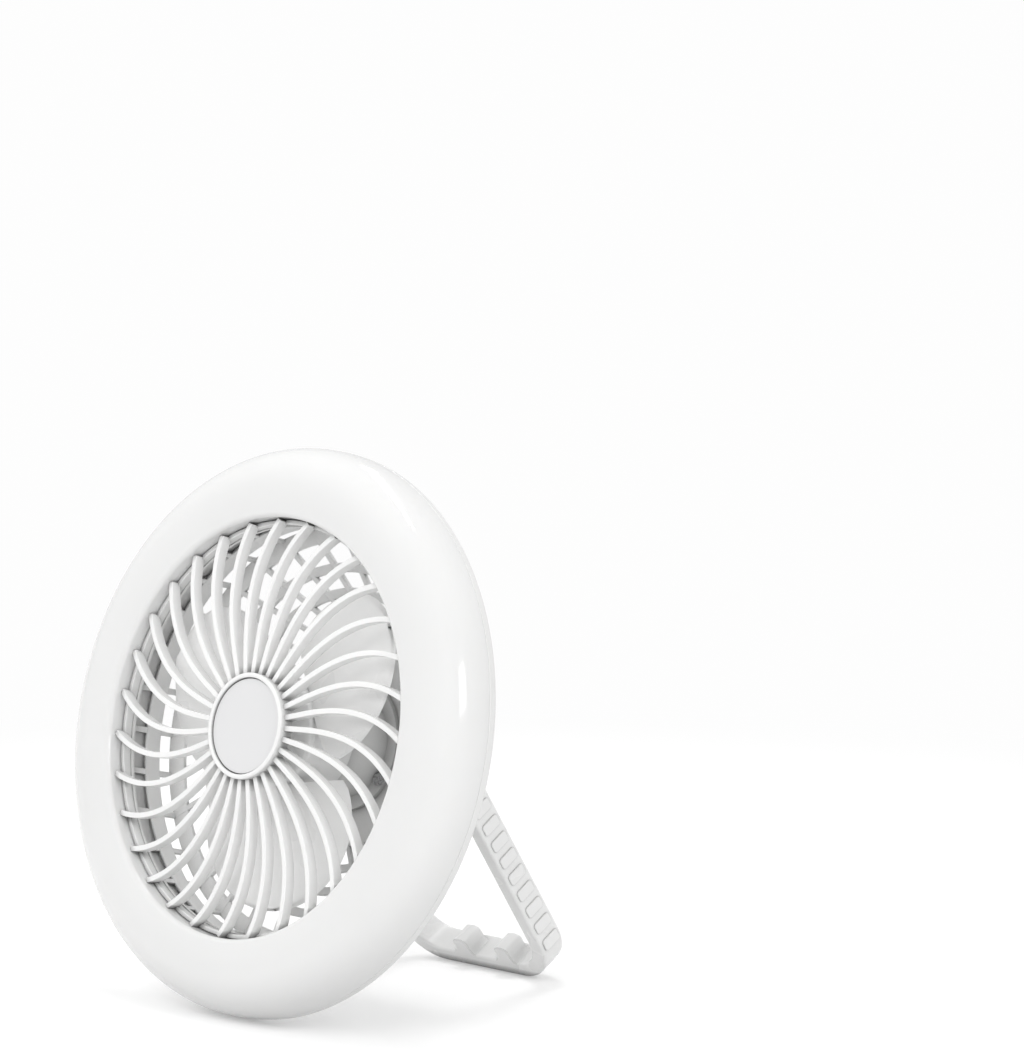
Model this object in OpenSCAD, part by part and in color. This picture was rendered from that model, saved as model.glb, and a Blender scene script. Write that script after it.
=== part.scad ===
// Portable camping fan with a ring light. It stands on the edge of its ring and on its folding
// handle, or hangs from the two hook fingers inside the handle's cross bar.
// The fan's own pieces are drawn along its axis: +Z points forward, out of the grille, and zero is
// the plane where the opening's lip starts to round over, so a depth behind it is a negative height.

/* [Ring light] */
// Outer radius of the ring
ring_r = 110; // [104:0.5:130]
// Radius of the opening at the lip
open_r = 81; // [76:0.5:84]
// Distance from the lip to the crest of the ring's front
crest_in = 9.5; // [7:0.5:13]
// Height of that crest in front of the lip
crest_h = 2.8; // [1:0.1:5]
// Depth of the ring's widest circle behind the lip
round_depth = 17; // [15:0.2:20]
// Fullness of the outer rounding, where 2 is an ellipse
round_power = 2.4; // [2:0.1:3]
// Width of the straight band behind the widest circle
side_band = 3.2; // [2:0.1:6]
// Size of the slanted edge behind that band
back_chamfer = 3.2; // [2:0.1:5]
// Wall of the light cover
cover_wall = 1.8; // [1.4:0.1:2.4]
// Height of the opening's rounded lip in front of the zero plane
lip_h = 2.2; // [1.6:0.1:2.6]
// Depth of the cover's inner wall, down to the grille's flange
lip_depth = 7; // [6:0.2:11]
// Wall of the ring housing
housing_wall = 2; // [1.6:0.1:2.6]
// Number of lamps on the lamp board
led_count = 36; // [12:1:48]
// Share of the room inside the ring that the lamp board takes across
led_board_share = 0.62; // [0.45:0.01:0.7]

/* [Front grille] */
// Number of curved ribs
rib_count = 31; // [16:1:36]
// Width of a rib
rib_w = 1.9; // [1.2:0.1:2.2]
// Height of a rib, front to back
rib_h = 4.4; // [3:0.1:5]
// Turn of a rib between its straight root and the frame, in degrees
rib_lean = 14; // [0:0.5:24]
// Radius at which a rib starts to curve
rib_bend_r = 27; // [24:1:40]
// Turn of all the ribs, in degrees
rib_phase = 4.3; // [0:0.1:11]
// Depth of the ribs' front edge at the frame
rib_rim_depth = 1.4; // [1:0.1:2.6]
// Height of the ribs' front edge at the hub
rib_hub_h = 2.8; // [1:0.1:4]
// Outer radius of the hub's rim
hub_rim_r = 20.5; // [18:0.1:24]
// Height of the hub's rim in front of the lip
hub_rim_h = 4.9; // [3.5:0.1:7]
// Wall of the hub's rim
hub_rim_wall = 1.9; // [1.4:0.1:2.4]
// Thickness of the badge plate in the hub
badge_t = 1.2; // [0.8:0.1:1.6]
// Depth of the badge below the rim
badge_recess = 1.1; // [0.4:0.1:1.6]
// Width of the grille's frame inside the opening
frame_w = 2.2; // [2:0.1:4.5]

/* [Rear guard] */
// Number of slanted spokes
spoke_count = 31; // [16:1:36]
// Width of a spoke
spoke_w = 2.2; // [1.6:0.1:3]
// Turn of a spoke between the rim and the middle, in degrees
spoke_turn = 24; // [0:1:40]
// Depth of the corner between the guard's wall and its slope
guard_corner_depth = 33.4; // [30:0.2:36]
// Rise of the guard's slope towards the middle, per unit of radius
guard_slope = 0.52; // [0.46:0.01:0.58]
// Thickness of the guard's wall
guard_wall = 1.6; // [1.4:0.1:4]
// Width of the posts in that wall
post_w = 2.4; // [1.6:0.2:6]
// Depth of the front of the band round the guard's wall
wall_band_depth = 18; // [15:0.2:21]
// Thickness of the guard
guard_t = 2.4; // [1.8:0.1:3]
// Number of rings between the corner ring and the middle
band_count = 3; // [2:1:4]
// Width of a ring
band_w = 3.6; // [2.5:0.1:4.5]
// Radius of the guard's middle plate
plate_r = 40; // [38:0.5:44]

/* [Impeller and motor] */
// Number of blades
blade_count = 3; // [2:1:5]
// Radius of the blade tips
blade_tip_r = 69; // [60:0.5:74]
// Pitch of the blades
blade_pitch = 11; // [8:0.5:13]
// Width of a blade
blade_w = 67; // [50:1:70]
// Thickness of a blade
blade_t = 1.8; // [1.2:0.1:2.4]
// Turn of the blades at rest, in degrees
blade_phase = 42; // [0:1:119]
// Distance from the hub's front to the middle of the blades
blade_set = 4; // [3.5:0.1:9]
// Radius of the impeller's hub
impeller_hub_r = 21.5; // [20:0.1:24]
// Depth of the hub's front face behind the lip
impeller_front = 11; // [10.5:0.1:15]
// Length of the impeller's hub
impeller_hub_l = 22.4; // [20:0.1:24]
// Radius of the motor shaft
shaft_r = 1.5; // [1:0.1:2.5]
// Radius of a ball bearing
bearing_r = 4; // [3.5:0.1:5]
// Width of a ball bearing
bearing_w = 3; // [2:0.1:4]
// Number of stator teeth
tooth_count = 6; // [3:1:9]

/* [Drum] */
// Radius of the drum
drum_r = 33; // [32:0.5:34]
// Length of the drum, without its rear cover
drum_l = 22.4; // [21:0.1:26]
// Distance from the drum's front to the pivots
pivot_set = 13.6; // [12:0.1:14]
// Wall of the drum
drum_wall = 2; // [1.6:0.1:2.6]
// Thickness of the rear cover
cover_t = 3; // [2.4:0.1:4]
// Direction of the socket pod around the drum, in degrees
pod_turn = 135; // [120:1:140]
// Radius of the pod's end
pod_r = 44; // [42:0.5:45]
// Width of the pod
pod_w = 15; // [14:0.5:16]
// Length of the battery
battery_l = 40; // [30:1:41]
// Width of the battery
battery_w = 34; // [24:1:34]
// Thickness of the battery
battery_t = 8.4; // [5:0.1:9]
// Radius of a button
button_r = 5.7; // [4:0.1:6]
// Distance of each button from the middle of the rear cover
button_offset = 10; // [8.5:0.1:11]
// Travel of a button
button_travel = 0.8; // [0.4:0.1:0.8]

/* [Handle] */
// Outside width of the handle
handle_w = 85; // [84:0.5:96]
// Thickness of the handle's arms and bar
handle_t = 6.6; // [6:0.1:8]
// Depth of the handle's section
handle_d = 12.2; // [10:0.1:14]
// Distance from the pivot to the outside of the bar
handle_l = 110; // [106:0.5:125]
// Outside radius of the handle's corners
corner_r = 20.5; // [14:0.5:24]
// Angle between the handle and the ring when the fan stands
open_angle = 47; // [42:0.5:60]
// Radius of the round ends of the arms
arm_end_r = 8; // [7:0.1:9]
// Distance between the two hook fingers
finger_pitch = 23.6; // [20:0.1:26]
// Sideways place of the fingers' middle
finger_offset = 3.8; // [0:0.1:5]
// Width of a finger
finger_w = 7.8; // [5:0.1:9]
// Length of a finger, front to back
finger_d = 9.8; // [6:0.1:10]
// Height of a finger above the bar
finger_h = 7; // [5:0.1:8]
// Number of grip pads on each arm
pad_count = 10; // [1:1:10]
// Distance that the last pad's middle lies past the arm's straight part
pad_overrun = 2.2; // [0:0.1:3]
// Length of a grip pad along the arm
pad_l = 5; // [3:0.1:5.5]
// Height of a grip pad
pad_h = 0.4; // [0.2:0.1:1]
// Radius of a pivot pin
pin_r = 3; // [2:0.1:3.5]
// Radius of a pivot cap
cap_r = 7.2; // [6:0.1:8]

/* [Screws and clearances] */
// Radius of the screws' thread
screw_r = 1.1; // [0.9:0.05:1.3]
// Radius of the screws' heads
screw_head_r = 2.3; // [2:0.1:2.5]
// Height of the screws' heads
screw_head_h = 1.4; // [1:0.1:1.6]
// Gap between pieces that stay clear of each other
gap = 0.3; // [0.2:0.05:0.4]
// Gap around a turning shaft or pin
run_gap = 0.05; // [0.02:0.01:0.08]
// Gap around a pressed or screwed piece
fit_gap = 0.03; // [0.02:0.01:0.06]

/* [Hidden] */
$fn = 96;
far = 300;

// Ring light
crest_r = open_r + crest_in;
lip_round = cover_wall + 0.4;
ring_foot_r = ring_r - 0.3;
ring_foot_depth = round_depth + side_band;
ring_back = ring_foot_depth + back_chamfer;
flange_t = 2.6;
flange_back = lip_depth + flange_t;
duct_r = open_r + 2.3;
frame_r = open_r - gap;
flange_r = duct_r + housing_wall + gap;
tongue_r = ring_r - cover_wall - gap;
led_edge = 0.9;
led_room_r = tongue_r - housing_wall - led_edge;
led_board_w = led_board_share * (led_room_r - flange_r);
led_circle_r = led_room_r - led_board_w / 2;
led_board_t = 1.6;
led_board_back = ring_back - housing_wall - 7.8;
led_boss_r = 2.6;
led_chip = 3.4;
led_chip_h = 0.8;
led_screw_count = 4;
tongue_h = 2.5;
rim_screw_count = 6;
rim_screw_r = duct_r + housing_wall + 3.2;
rim_boss_r = 3;
rim_boss_h = 8;

// Front grille
rib_end_r = frame_r - gap;
hub_in_r = hub_rim_r - hub_rim_wall;
badge_back = hub_rim_h - badge_recess - badge_t;
hub_floor_t = 1.8;
hub_back = 1.6;
root_overlap = 0.4;
frame_wall = 1.8;
frame_step = 8.2;
frame_bite = 1.2;
frame_front = rib_rim_depth + rib_h - frame_bite;
rib_steps = 9;

// Rear guard
wall_out_r = duct_r - 0.7;
wall_in_r = wall_out_r - guard_wall;
wall_ring_h = 1.6;
post_inset = 0.2;
wall_front = flange_back + 1;
plate_front = guard_corner_depth + (wall_out_r - plate_r) * guard_slope - guard_t;
plate_back = plate_front + guard_t;
rim_flange_t = 2.2;
rim_flange_r = rim_screw_r + 4.5;
corner_ring_w = 6;
wire_hole_r = 9;

// Impeller and motor
impeller_back = impeller_front + impeller_hub_l;
hub_wall = 1.5;
hub_front_t = 1.8;
boss_r = 4;
can_r = impeller_hub_r - hub_wall - gap;
can_t = 1;
can_front = impeller_front + hub_front_t + gap;
can_back = impeller_back - 2;
magnet_r = can_r - can_t - fit_gap;
magnet_t = 1.9;
magnet_front = can_front + can_t + 3.4;
magnet_l = 12;
air_gap = 0.6;
stator_r = magnet_r - magnet_t - air_gap;
mount_top = impeller_back + 4;
sleeve_in_r = bearing_r + fit_gap;
sleeve_out_r = sleeve_in_r + 1.5;
sleeve_front = can_front + can_t + 3;
shoulder_in_r = bearing_r - 0.8;
stator_front = magnet_front + 1.5;
stator_l = 9;
stator_back = stator_front + stator_l;
stator_seat_r = sleeve_out_r + 0.9;
board_seat = stator_back + 3.6;
board_seat_r = stator_seat_r + 1;
motor_board_t = 1.2;
mount_plate_t = 2;
mount_top_r = 17;
mount_base_r = 26;
mount_base_t = 2;
mount_wall = 2;
mount_neck_r = 21;
mount_screw_count = 3;
mount_screw_r = 23.4;
shaft_front = impeller_front + 0.6;
rear_bearing_back = mount_top - 1;
shaft_back = rear_bearing_back + gap + 0.9;
clip_t = 0.5;
blade_mid = impeller_front + blade_set;

// Drum
drum_front = plate_back;
drum_back = drum_front + drum_l;
floor_back = drum_front + drum_wall;
drum_in_r = drum_r - drum_wall;
cover_back = drum_back + cover_t;
hub_screw_circle_r = 28;
hub_screw_turns = [62, 118, 242, 298];
cover_post_r = 2.8;
cover_post_circle_r = drum_in_r - 3;
cover_post_turns = [50, 230, 310];
board_t = 1.6;
board_post_r = 2.2;
board_post_y = 22;
board_r = cover_post_circle_r - cover_post_r - gap;
tab_w = 10;
tray_wall = 1;
tray_gap = 0.2;
pad_inset = 5;
switch_w = 6;
switch_h = 2;
plunger_r = 1.7;
plunger_h = 0.6;
button_flange_r = button_r + 1.2;
button_flange_t = 1.1;
button_proud = 0.8;
board_depth = drum_back - gap - button_flange_t - button_travel - 0.1 - plunger_h - switch_h;
cover_screw_sink = 1.6;
spigot_t = 1.6;
spigot_h = 2;
pipe_r = 1.2;
pipe_x = 13;
socket_w = 8.9;
socket_h = 3.2;
socket_l = 7.3;
socket_wall = 0.35;
pod_wall = 1.5;
pod_round = 3;
socket_end = pod_r - pod_wall - gap;
pod_front = board_depth - board_t - 7.2;
pod_back = board_depth + 2.8;

// Handle
pivot_depth = drum_front + pivot_set;
arm_in_x = handle_w / 2 - handle_t;
washer_t = 1;
washer_r = 7;
slip_gap = 0.2;
boss_end_x = arm_in_x - slip_gap - washer_t;
pivot_boss_r = 8.4;
boss_in_x = drum_in_r - 4;
pin_in_x = boss_in_x + 1;
head_seat = 3.3;
pin_head_r = 5;
pin_head_t = 2;
cap_t = 1.4;
cap_plug_l = 0.9;
finger_round = 2.9;
root_round = 1.6;
first_pad = 15.2;
pad_pitch = (handle_l - corner_r + pad_overrun - first_pad) / max(1, pad_count - 1);
pad_w = handle_d - 3.4;
pocket_w = 2.4;
pocket_deep = 1.2;
pocket_up = 30;
pocket_l = handle_l - pocket_up;

// The fan leans back until the ring's rear edge and the bar's lower edge stand on one level
lean = atan2(ring_foot_r - handle_l * cos(open_angle) - handle_d / 2 * sin(open_angle),
    pivot_depth + handle_l * sin(open_angle) - ring_foot_depth - handle_d / 2 * cos(open_angle));
arm_tilt = open_angle - lean;
centre_z = ring_foot_r * cos(lean) + ring_foot_depth * sin(lean);
front_y = min([for (p = cover_outline(0)) -p[0] * sin(lean) - p[1] * cos(lean)]);
back_y = pivot_depth * cos(lean) + handle_l * sin(arm_tilt) + handle_d / 2 * cos(arm_tilt);
centre_y = -(front_y + back_y) / 2;

// Outline of the light cover's face, from the lip over the crest to the widest circle
function cover_outline(inset) = concat(
    [[open_r + inset, -lip_depth]],
    [for (a = [0 : 15 : 90]) [open_r + lip_round - (lip_round - inset) * cos(a),
        lip_h - lip_round + (lip_round - inset) * sin(a)]],
    [for (i = [1 : 5]) let (f = i / 6)
        [open_r + lip_round + f * (crest_r - open_r - lip_round),
            lip_h + (crest_h - lip_h) * sin(90 * f) - inset]],
    [for (i = [0 : 16]) let (a = i * 90 / 16)
        [crest_r + (ring_r - crest_r - inset) * pow(sin(a), 2 / round_power),
            -round_depth + (crest_h + round_depth - inset) * pow(cos(a), 2 / round_power)]]);

function reversed(points) = [for (i = [len(points) - 1 : -1 : 0]) points[i]];

module at_fan() {
    translate([0, centre_y, centre_z]) rotate([90 - lean, 0, 0]) children();
}

module at_handle() {
    at_fan() translate([0, 0, -pivot_depth]) rotate([open_angle, 0, 0]) children();
}

// A ring between two depths behind the lip
module depth_ring(outer, inner, front, back) {
    translate([0, 0, -back]) difference() {
        cylinder(r = outer, h = back - front);
        translate([0, 0, -1]) cylinder(r = inner, h = back - front + 2);
    }
}

// Both arms' ends, with +Z pointing away from the middle
module at_arm_ends(distance) {
    for (side = [-1, 1]) rotate([0, 90 * side, 0]) translate([0, 0, distance]) children();
}

module depth_rod(r, front, back) {
    translate([0, 0, -back]) cylinder(r = r, h = back - front);
}

module around(count, radius, start = 0) {
    for (i = [0 : count - 1]) rotate([0, 0, start + i * 360 / count]) translate([radius, 0, 0]) children();
}

module at_turns(turns, radius) {
    for (turn = turns) rotate([0, 0, turn]) translate([radius, 0, 0]) children();
}

// A screw whose head rests on the face at the given depth and whose thread goes forward
module screw_forward(seat, length) {
    depth_rod(screw_head_r, seat, seat + screw_head_h);
    depth_rod(screw_r, seat - length, seat + 0.1);
}

module light_ring_cover() {
    color("white") at_fan() rotate_extrude($fn = 180)
        polygon(concat(cover_outline(0), reversed(cover_outline(cover_wall))));
}

module light_ring_housing() {
    inner = duct_r + housing_wall;
    floor_z = -ring_back + housing_wall;
    color("whitesmoke") at_fan() difference() {
        union() {
            rotate_extrude($fn = 180) polygon([[ring_r, -round_depth], [ring_foot_r, -ring_foot_depth],
                [ring_foot_r - back_chamfer, -ring_back], [duct_r, -ring_back],
                [duct_r, -flange_back], [inner, -flange_back], [inner, floor_z],
                [tongue_r - housing_wall - 1, floor_z], [tongue_r - housing_wall, floor_z + 1],
                [tongue_r - housing_wall, -round_depth + tongue_h],
                [tongue_r, -round_depth + tongue_h], [tongue_r, -round_depth]]);
            depth_ring(led_circle_r + 0.8, led_circle_r - 0.8, led_board_back + gap,
                ring_back - housing_wall / 2);
            around(led_screw_count, led_circle_r, 45)
                depth_rod(led_boss_r, led_board_back, ring_back - housing_wall / 2);
            around(rim_screw_count, rim_screw_r, 15)
                depth_rod(rim_boss_r, ring_back - rim_boss_h, ring_back - housing_wall / 2);
        }
        around(led_screw_count, led_circle_r, 45)
            depth_rod(screw_r + fit_gap, led_board_back - 1, led_board_back + 6);
        around(rim_screw_count, rim_screw_r, 15)
            depth_rod(screw_r + fit_gap, ring_back - rim_boss_h + 1, ring_back + 1);
    }
}

module led_board() {
    color("white") at_fan() difference() {
        depth_ring(led_circle_r + led_board_w / 2, led_circle_r - led_board_w / 2,
            led_board_back - led_board_t, led_board_back);
        around(led_screw_count, led_circle_r, 45)
            depth_rod(screw_r + gap, led_board_back - led_board_t - 1, led_board_back + 1);
    }
}

module led_chips() {
    front = led_board_back - led_board_t;
    color("khaki") at_fan() around(led_count, led_circle_r)
        translate([0, 0, -front + led_chip_h / 2]) cube([led_chip, led_chip, led_chip_h], center = true);
}

module led_board_screws() {
    front = led_board_back - led_board_t;
    color("silver") at_fan() around(led_screw_count, led_circle_r, 45) {
        depth_rod(screw_r + 0.7, front - screw_head_h / 2, front);
        depth_rod(screw_r, front - 0.1, front + 6);
    }
}

// Middle line of a rib at a radius: straight out of the hub, then leaning clockwise more and more
function rib_point(r) = let (f = max(0, r - rib_bend_r) / (frame_r - rib_bend_r), turn = -rib_lean * f * f)
    [r * cos(turn), r * sin(turn)];

function rib_side(r, side) = let (step = rib_point(r + 0.5) - rib_point(r - 0.5), along = step / norm(step))
    rib_point(r) + side * rib_w / 2 * [-along[1], along[0]];

module rib() {
    radii = concat([hub_in_r + root_overlap],
        [for (i = [0 : rib_steps]) rib_bend_r + i * (frame_r + 1 - rib_bend_r) / rib_steps]);
    deep = rib_rim_depth + rib_h + 2;
    translate([0, 0, -deep]) linear_extrude(height = rib_hub_h + 2 + deep)
        polygon(concat([for (r = radii) rib_side(r, 1)], reversed([for (r = radii) rib_side(r, -1)])));
}

module front_grille() {
    slope_in = hub_in_r + root_overlap / 2;
    color("white") at_fan() union() {
        intersection() {
            around(rib_count, 0, rib_phase) rib();
            rotate_extrude($fn = 180) polygon([[slope_in, rib_hub_h], [rib_end_r, -rib_rim_depth],
                [rib_end_r, -rib_rim_depth - rib_h], [slope_in, rib_hub_h - rib_h]]);
        }
        depth_ring(hub_rim_r, hub_in_r, -hub_rim_h, hub_back);
        depth_rod(hub_in_r + 0.5, -badge_back, -badge_back + hub_floor_t);
        rotate_extrude($fn = 180) polygon([[frame_r, -frame_front], [frame_r, -lip_depth],
            [flange_r, -lip_depth], [flange_r, -flange_back], [frame_r - frame_w, -flange_back],
            [frame_r - frame_w, -frame_step], [frame_r - frame_wall, -frame_step],
            [frame_r - frame_wall, -frame_front]]);
    }
}

module hub_badge() {
    color("lightgray") at_fan() depth_rod(hub_in_r - gap, -badge_back - badge_t, -badge_back);
}

// A straight spoke between two radii that turns by a given angle on its way in
module spoke(r1, r2, turn) {
    from = [r1, 0];
    to = [r2 * cos(turn), r2 * sin(turn)];
    along = (to - from) / norm(to - from);
    side = [-along[1], along[0]] * spoke_w / 2;
    polygon([from - side, from + side, to + side, to - side]);
}

module guard_pattern() {
    step = (wall_out_r - corner_ring_w - plate_r) / (band_count + 1);
    for (i = [0 : spoke_count - 1]) rotate(i * 360 / spoke_count)
        spoke(wall_out_r - 1, plate_r - 1, -spoke_turn);
    for (i = [1 : band_count]) difference() {
        circle(r = plate_r + i * step + band_w / 2);
        circle(r = plate_r + i * step - band_w / 2);
    }
    difference() {
        circle(r = wall_out_r);
        circle(r = wall_out_r - corner_ring_w);
    }
}

module rear_guard() {
    slope_front = -guard_corner_depth + guard_t;
    plate_rim = plate_r - 1.2;
    rise = (wall_out_r - plate_rim) * guard_slope;
    color("whitesmoke") at_fan() difference() {
        union() {
            intersection() {
                translate([0, 0, -far / 2]) linear_extrude(height = far) guard_pattern();
                rotate_extrude($fn = 120) polygon([[wall_out_r, slope_front],
                    [wall_out_r, -guard_corner_depth], [plate_rim, -guard_corner_depth - rise],
                    [plate_rim, slope_front - rise]]);
            }
            around(spoke_count, 0) translate([wall_in_r + post_inset, -post_w / 2, -guard_corner_depth])
                cube([guard_wall - 2 * post_inset, post_w, guard_corner_depth - wall_front - post_inset]);
            depth_ring(wall_out_r, wall_in_r, wall_front, wall_front + wall_ring_h);
            depth_ring(wall_out_r, wall_in_r, wall_band_depth, ring_back + 1);
            depth_ring(rim_flange_r, wall_in_r, ring_back, ring_back + rim_flange_t);
            depth_ring(plate_r, wire_hole_r, plate_front, plate_back);
        }
        around(rim_screw_count, rim_screw_r, 15)
            depth_rod(screw_r + gap, ring_back - 1, ring_back + rim_flange_t + 1);
        around(mount_screw_count, mount_screw_r, 90)
            depth_rod(screw_r + fit_gap, plate_front - 1, plate_back + 1);
        at_turns(hub_screw_turns, hub_screw_circle_r)
            depth_rod(screw_r + fit_gap, plate_front - 1, plate_back + 1);
    }
}

module guard_rim_screws() {
    color("silver") at_fan() around(rim_screw_count, rim_screw_r, 15)
        screw_forward(ring_back + rim_flange_t, rim_flange_t + rim_boss_h - 1.5);
}

// A broad rounded blade, flat and pitched about its own radius
module blade() {
    petal_r = blade_w / 2;
    intersection() {
        translate([0, 0, -blade_mid]) rotate([-blade_pitch, 0, 0]) cube([far, far, blade_t], center = true);
        translate([0, 0, -far / 2]) linear_extrude(height = far) intersection() {
            translate([blade_tip_r - petal_r, 0]) circle(r = petal_r);
            translate([impeller_hub_r - 1, -far / 2]) square(far);
        }
    }
}

module impeller() {
    color("gainsboro") at_fan() difference() {
        union() {
            depth_rod(impeller_hub_r, impeller_front, impeller_back);
            around(blade_count, 0, blade_phase) blade();
        }
        depth_rod(impeller_hub_r - hub_wall, impeller_front + hub_front_t, impeller_back + 1);
        depth_rod(shaft_r + fit_gap, impeller_front + 0.5, impeller_back);
    }
}

module rotor_can() {
    color("silver") at_fan() {
        depth_ring(can_r, shaft_r + fit_gap, can_front, can_front + can_t);
        depth_ring(can_r, can_r - can_t, can_front + can_t, can_back);
        depth_ring(boss_r - 0.5, shaft_r + fit_gap, can_front + can_t, can_front + can_t + 2);
    }
}

module rotor_magnet() {
    color("dimgray") at_fan()
        depth_ring(magnet_r, magnet_r - magnet_t, magnet_front, magnet_front + magnet_l);
}

module motor_shaft() {
    color("silver") at_fan() depth_rod(shaft_r, shaft_front, shaft_back);
}

module shaft_clip() {
    front = rear_bearing_back + gap;
    color("dimgray") at_fan() depth_ring(shaft_r + 1.1, shaft_r + fit_gap, front, front + clip_t);
}

module stator_core() {
    rim_t = 1.6;
    hub_t = 1.8;
    tooth_w = 3;
    color("darkgray") at_fan() union() {
        depth_ring(sleeve_out_r + hub_t, sleeve_out_r + fit_gap, stator_front, stator_back);
        around(tooth_count, 0) translate([sleeve_out_r + hub_t - 0.4, -tooth_w / 2, -stator_back])
            cube([stator_r - rim_t - sleeve_out_r - hub_t + 0.8, tooth_w, stator_l]);
        intersection() {
            depth_ring(stator_r, stator_r - rim_t, stator_front, stator_back);
            around(tooth_count, 0) translate([0, -stator_r * sin(140 / tooth_count), -stator_back])
                cube([stator_r, 2 * stator_r * sin(140 / tooth_count), stator_l]);
        }
    }
}

module stator_coils() {
    tooth_w = 3;
    coil_t = 1.2;
    start = sleeve_out_r + 1.8 + gap;
    length = stator_r - 1.6 - gap - start;
    color("peru") at_fan() around(tooth_count, start) difference() {
        translate([0, -tooth_w / 2 - coil_t, -stator_back - coil_t])
            cube([length, tooth_w + 2 * coil_t, stator_l + 2 * coil_t]);
        translate([-1, -tooth_w / 2 - fit_gap, -stator_back - fit_gap])
            cube([length + 2, tooth_w + 2 * fit_gap, stator_l + 2 * fit_gap]);
    }
}

module motor_board() {
    color("darkgreen") at_fan() depth_ring(stator_r - 2, stator_seat_r + fit_gap,
        board_seat - motor_board_t, board_seat);
}

module bearing(back) {
    color("silver") at_fan() depth_ring(bearing_r, shaft_r + run_gap, back - bearing_w, back);
}

module bearing_front() {
    bearing(sleeve_front + bearing_w);
}

module bearing_rear() {
    bearing(rear_bearing_back);
}

module motor_mount() {
    base_front = plate_front - mount_base_t;
    color("whitesmoke") at_fan() difference() {
        union() {
            rotate_extrude() polygon([[0, -mount_top], [mount_top_r, -mount_top],
                [mount_neck_r, -base_front], [mount_base_r, -base_front], [mount_base_r, -plate_front],
                [mount_neck_r - mount_wall, -plate_front],
                [mount_top_r - mount_wall, -mount_top - mount_plate_t], [0, -mount_top - mount_plate_t]]);
            depth_rod(sleeve_out_r, sleeve_front, mount_top + 1);
            depth_rod(stator_seat_r, stator_back, mount_top + 1);
            depth_rod(board_seat_r, board_seat, mount_top + 1);
        }
        depth_rod(shoulder_in_r, sleeve_front - 1, mount_top + mount_plate_t + 1);
        depth_rod(sleeve_in_r, sleeve_front - 1, sleeve_front + bearing_w);
        depth_rod(sleeve_in_r, rear_bearing_back - bearing_w, mount_top + mount_plate_t + 1);
        around(mount_screw_count, mount_screw_r, 90)
            depth_rod(screw_r + gap, base_front - 1, plate_front + 1);
    }
}

module motor_mount_screws() {
    seat = plate_front - mount_base_t;
    color("silver") at_fan() around(mount_screw_count, mount_screw_r, 90) {
        depth_rod(screw_head_r, seat - screw_head_h, seat);
        depth_rod(screw_r, seat - 0.1, plate_back - 0.2);
    }
}

module pod_block(inset) {
    start = drum_in_r - 6;
    end = pod_r - inset;
    half = pod_w / 2 - inset;
    height = pod_back - pod_front - 2 * inset;
    rotate([0, 0, pod_turn]) translate([0, 0, -pod_back + inset]) {
        translate([start, -half, 0]) cube([end - pod_round - start, 2 * half, height]);
        translate([start, -half + pod_round, 0]) cube([end - start, 2 * (half - pod_round), height]);
        for (s = [-1, 1]) translate([end - pod_round, s * (half - pod_round), 0])
            cylinder(r = pod_round, h = height);
    }
}

module drum_shell() {
    color("white") at_fan() difference() {
        union() {
            difference() {
                union() {
                    depth_rod(drum_r, drum_front, drum_back);
                    pod_block(0);
                }
                depth_rod(drum_in_r, floor_back, drum_back + 1);
                pod_block(pod_wall);
            }
            translate([0, 0, -pivot_depth]) at_arm_ends(boss_in_x)
                cylinder(r = pivot_boss_r, h = boss_end_x - boss_in_x);
            at_turns(cover_post_turns, cover_post_circle_r)
                depth_rod(cover_post_r, floor_back - 0.5, drum_back);
            for (s = [-1, 1]) translate([0, s * board_post_y, 0])
                depth_rod(board_post_r, floor_back - 0.5, board_depth - board_t);
        }
        depth_rod(wire_hole_r, drum_front - 1, floor_back + 1);
        translate([0, 0, -pivot_depth]) at_arm_ends(boss_in_x - 1)
            cylinder(r = pin_r + fit_gap, h = boss_end_x - boss_in_x + 2);
        at_turns(cover_post_turns, cover_post_circle_r)
            depth_rod(screw_r + fit_gap, floor_back + 6, drum_back + 1);
        for (s = [-1, 1]) translate([0, s * board_post_y, 0])
            depth_rod(screw_r + fit_gap, floor_back + 3, drum_back);
        at_turns(hub_screw_turns, hub_screw_circle_r)
            depth_rod(screw_r + gap, drum_front - 1, floor_back + 1);
        rotate([0, 0, pod_turn]) translate([pod_r - pod_wall - 1, 0, -board_depth + board_t + socket_h / 2])
            cube([2 * pod_wall + 3, socket_w + 2 * gap, socket_h + 2 * gap], center = true);
    }
}

module guard_hub_screws() {
    color("silver") at_fan() at_turns(hub_screw_turns, hub_screw_circle_r)
        screw_forward(floor_back, drum_wall + guard_t - 0.3);
}

module battery_cell() {
    color("slategray") at_fan() translate([0, 0, -floor_back - tray_wall - battery_t / 2])
        cube([battery_l, battery_w, battery_t], center = true);
}

module battery_tray() {
    inner = [battery_l + 2 * tray_gap, battery_w + 2 * tray_gap];
    outer = inner + [2, 2] * tray_wall;
    height = tray_wall + battery_t * 0.7;
    color("gainsboro") at_fan() translate([0, 0, -floor_back]) difference() {
        translate([0, 0, -height / 2]) cube([outer[0], outer[1], height], center = true);
        translate([0, 0, -tray_wall - height / 2]) cube([inner[0], inner[1], height], center = true);
        cube([wire_hole_r, wire_hole_r, 4 * tray_wall], center = true);
    }
}

module battery_pad() {
    front = floor_back + tray_wall + battery_t;
    size = [battery_l - 2 * pad_inset, battery_w - 2 * pad_inset, board_depth - board_t - front];
    color("dimgray") at_fan() translate([0, 0, -front - size[2] / 2]) cube(size, center = true);
}

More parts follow.
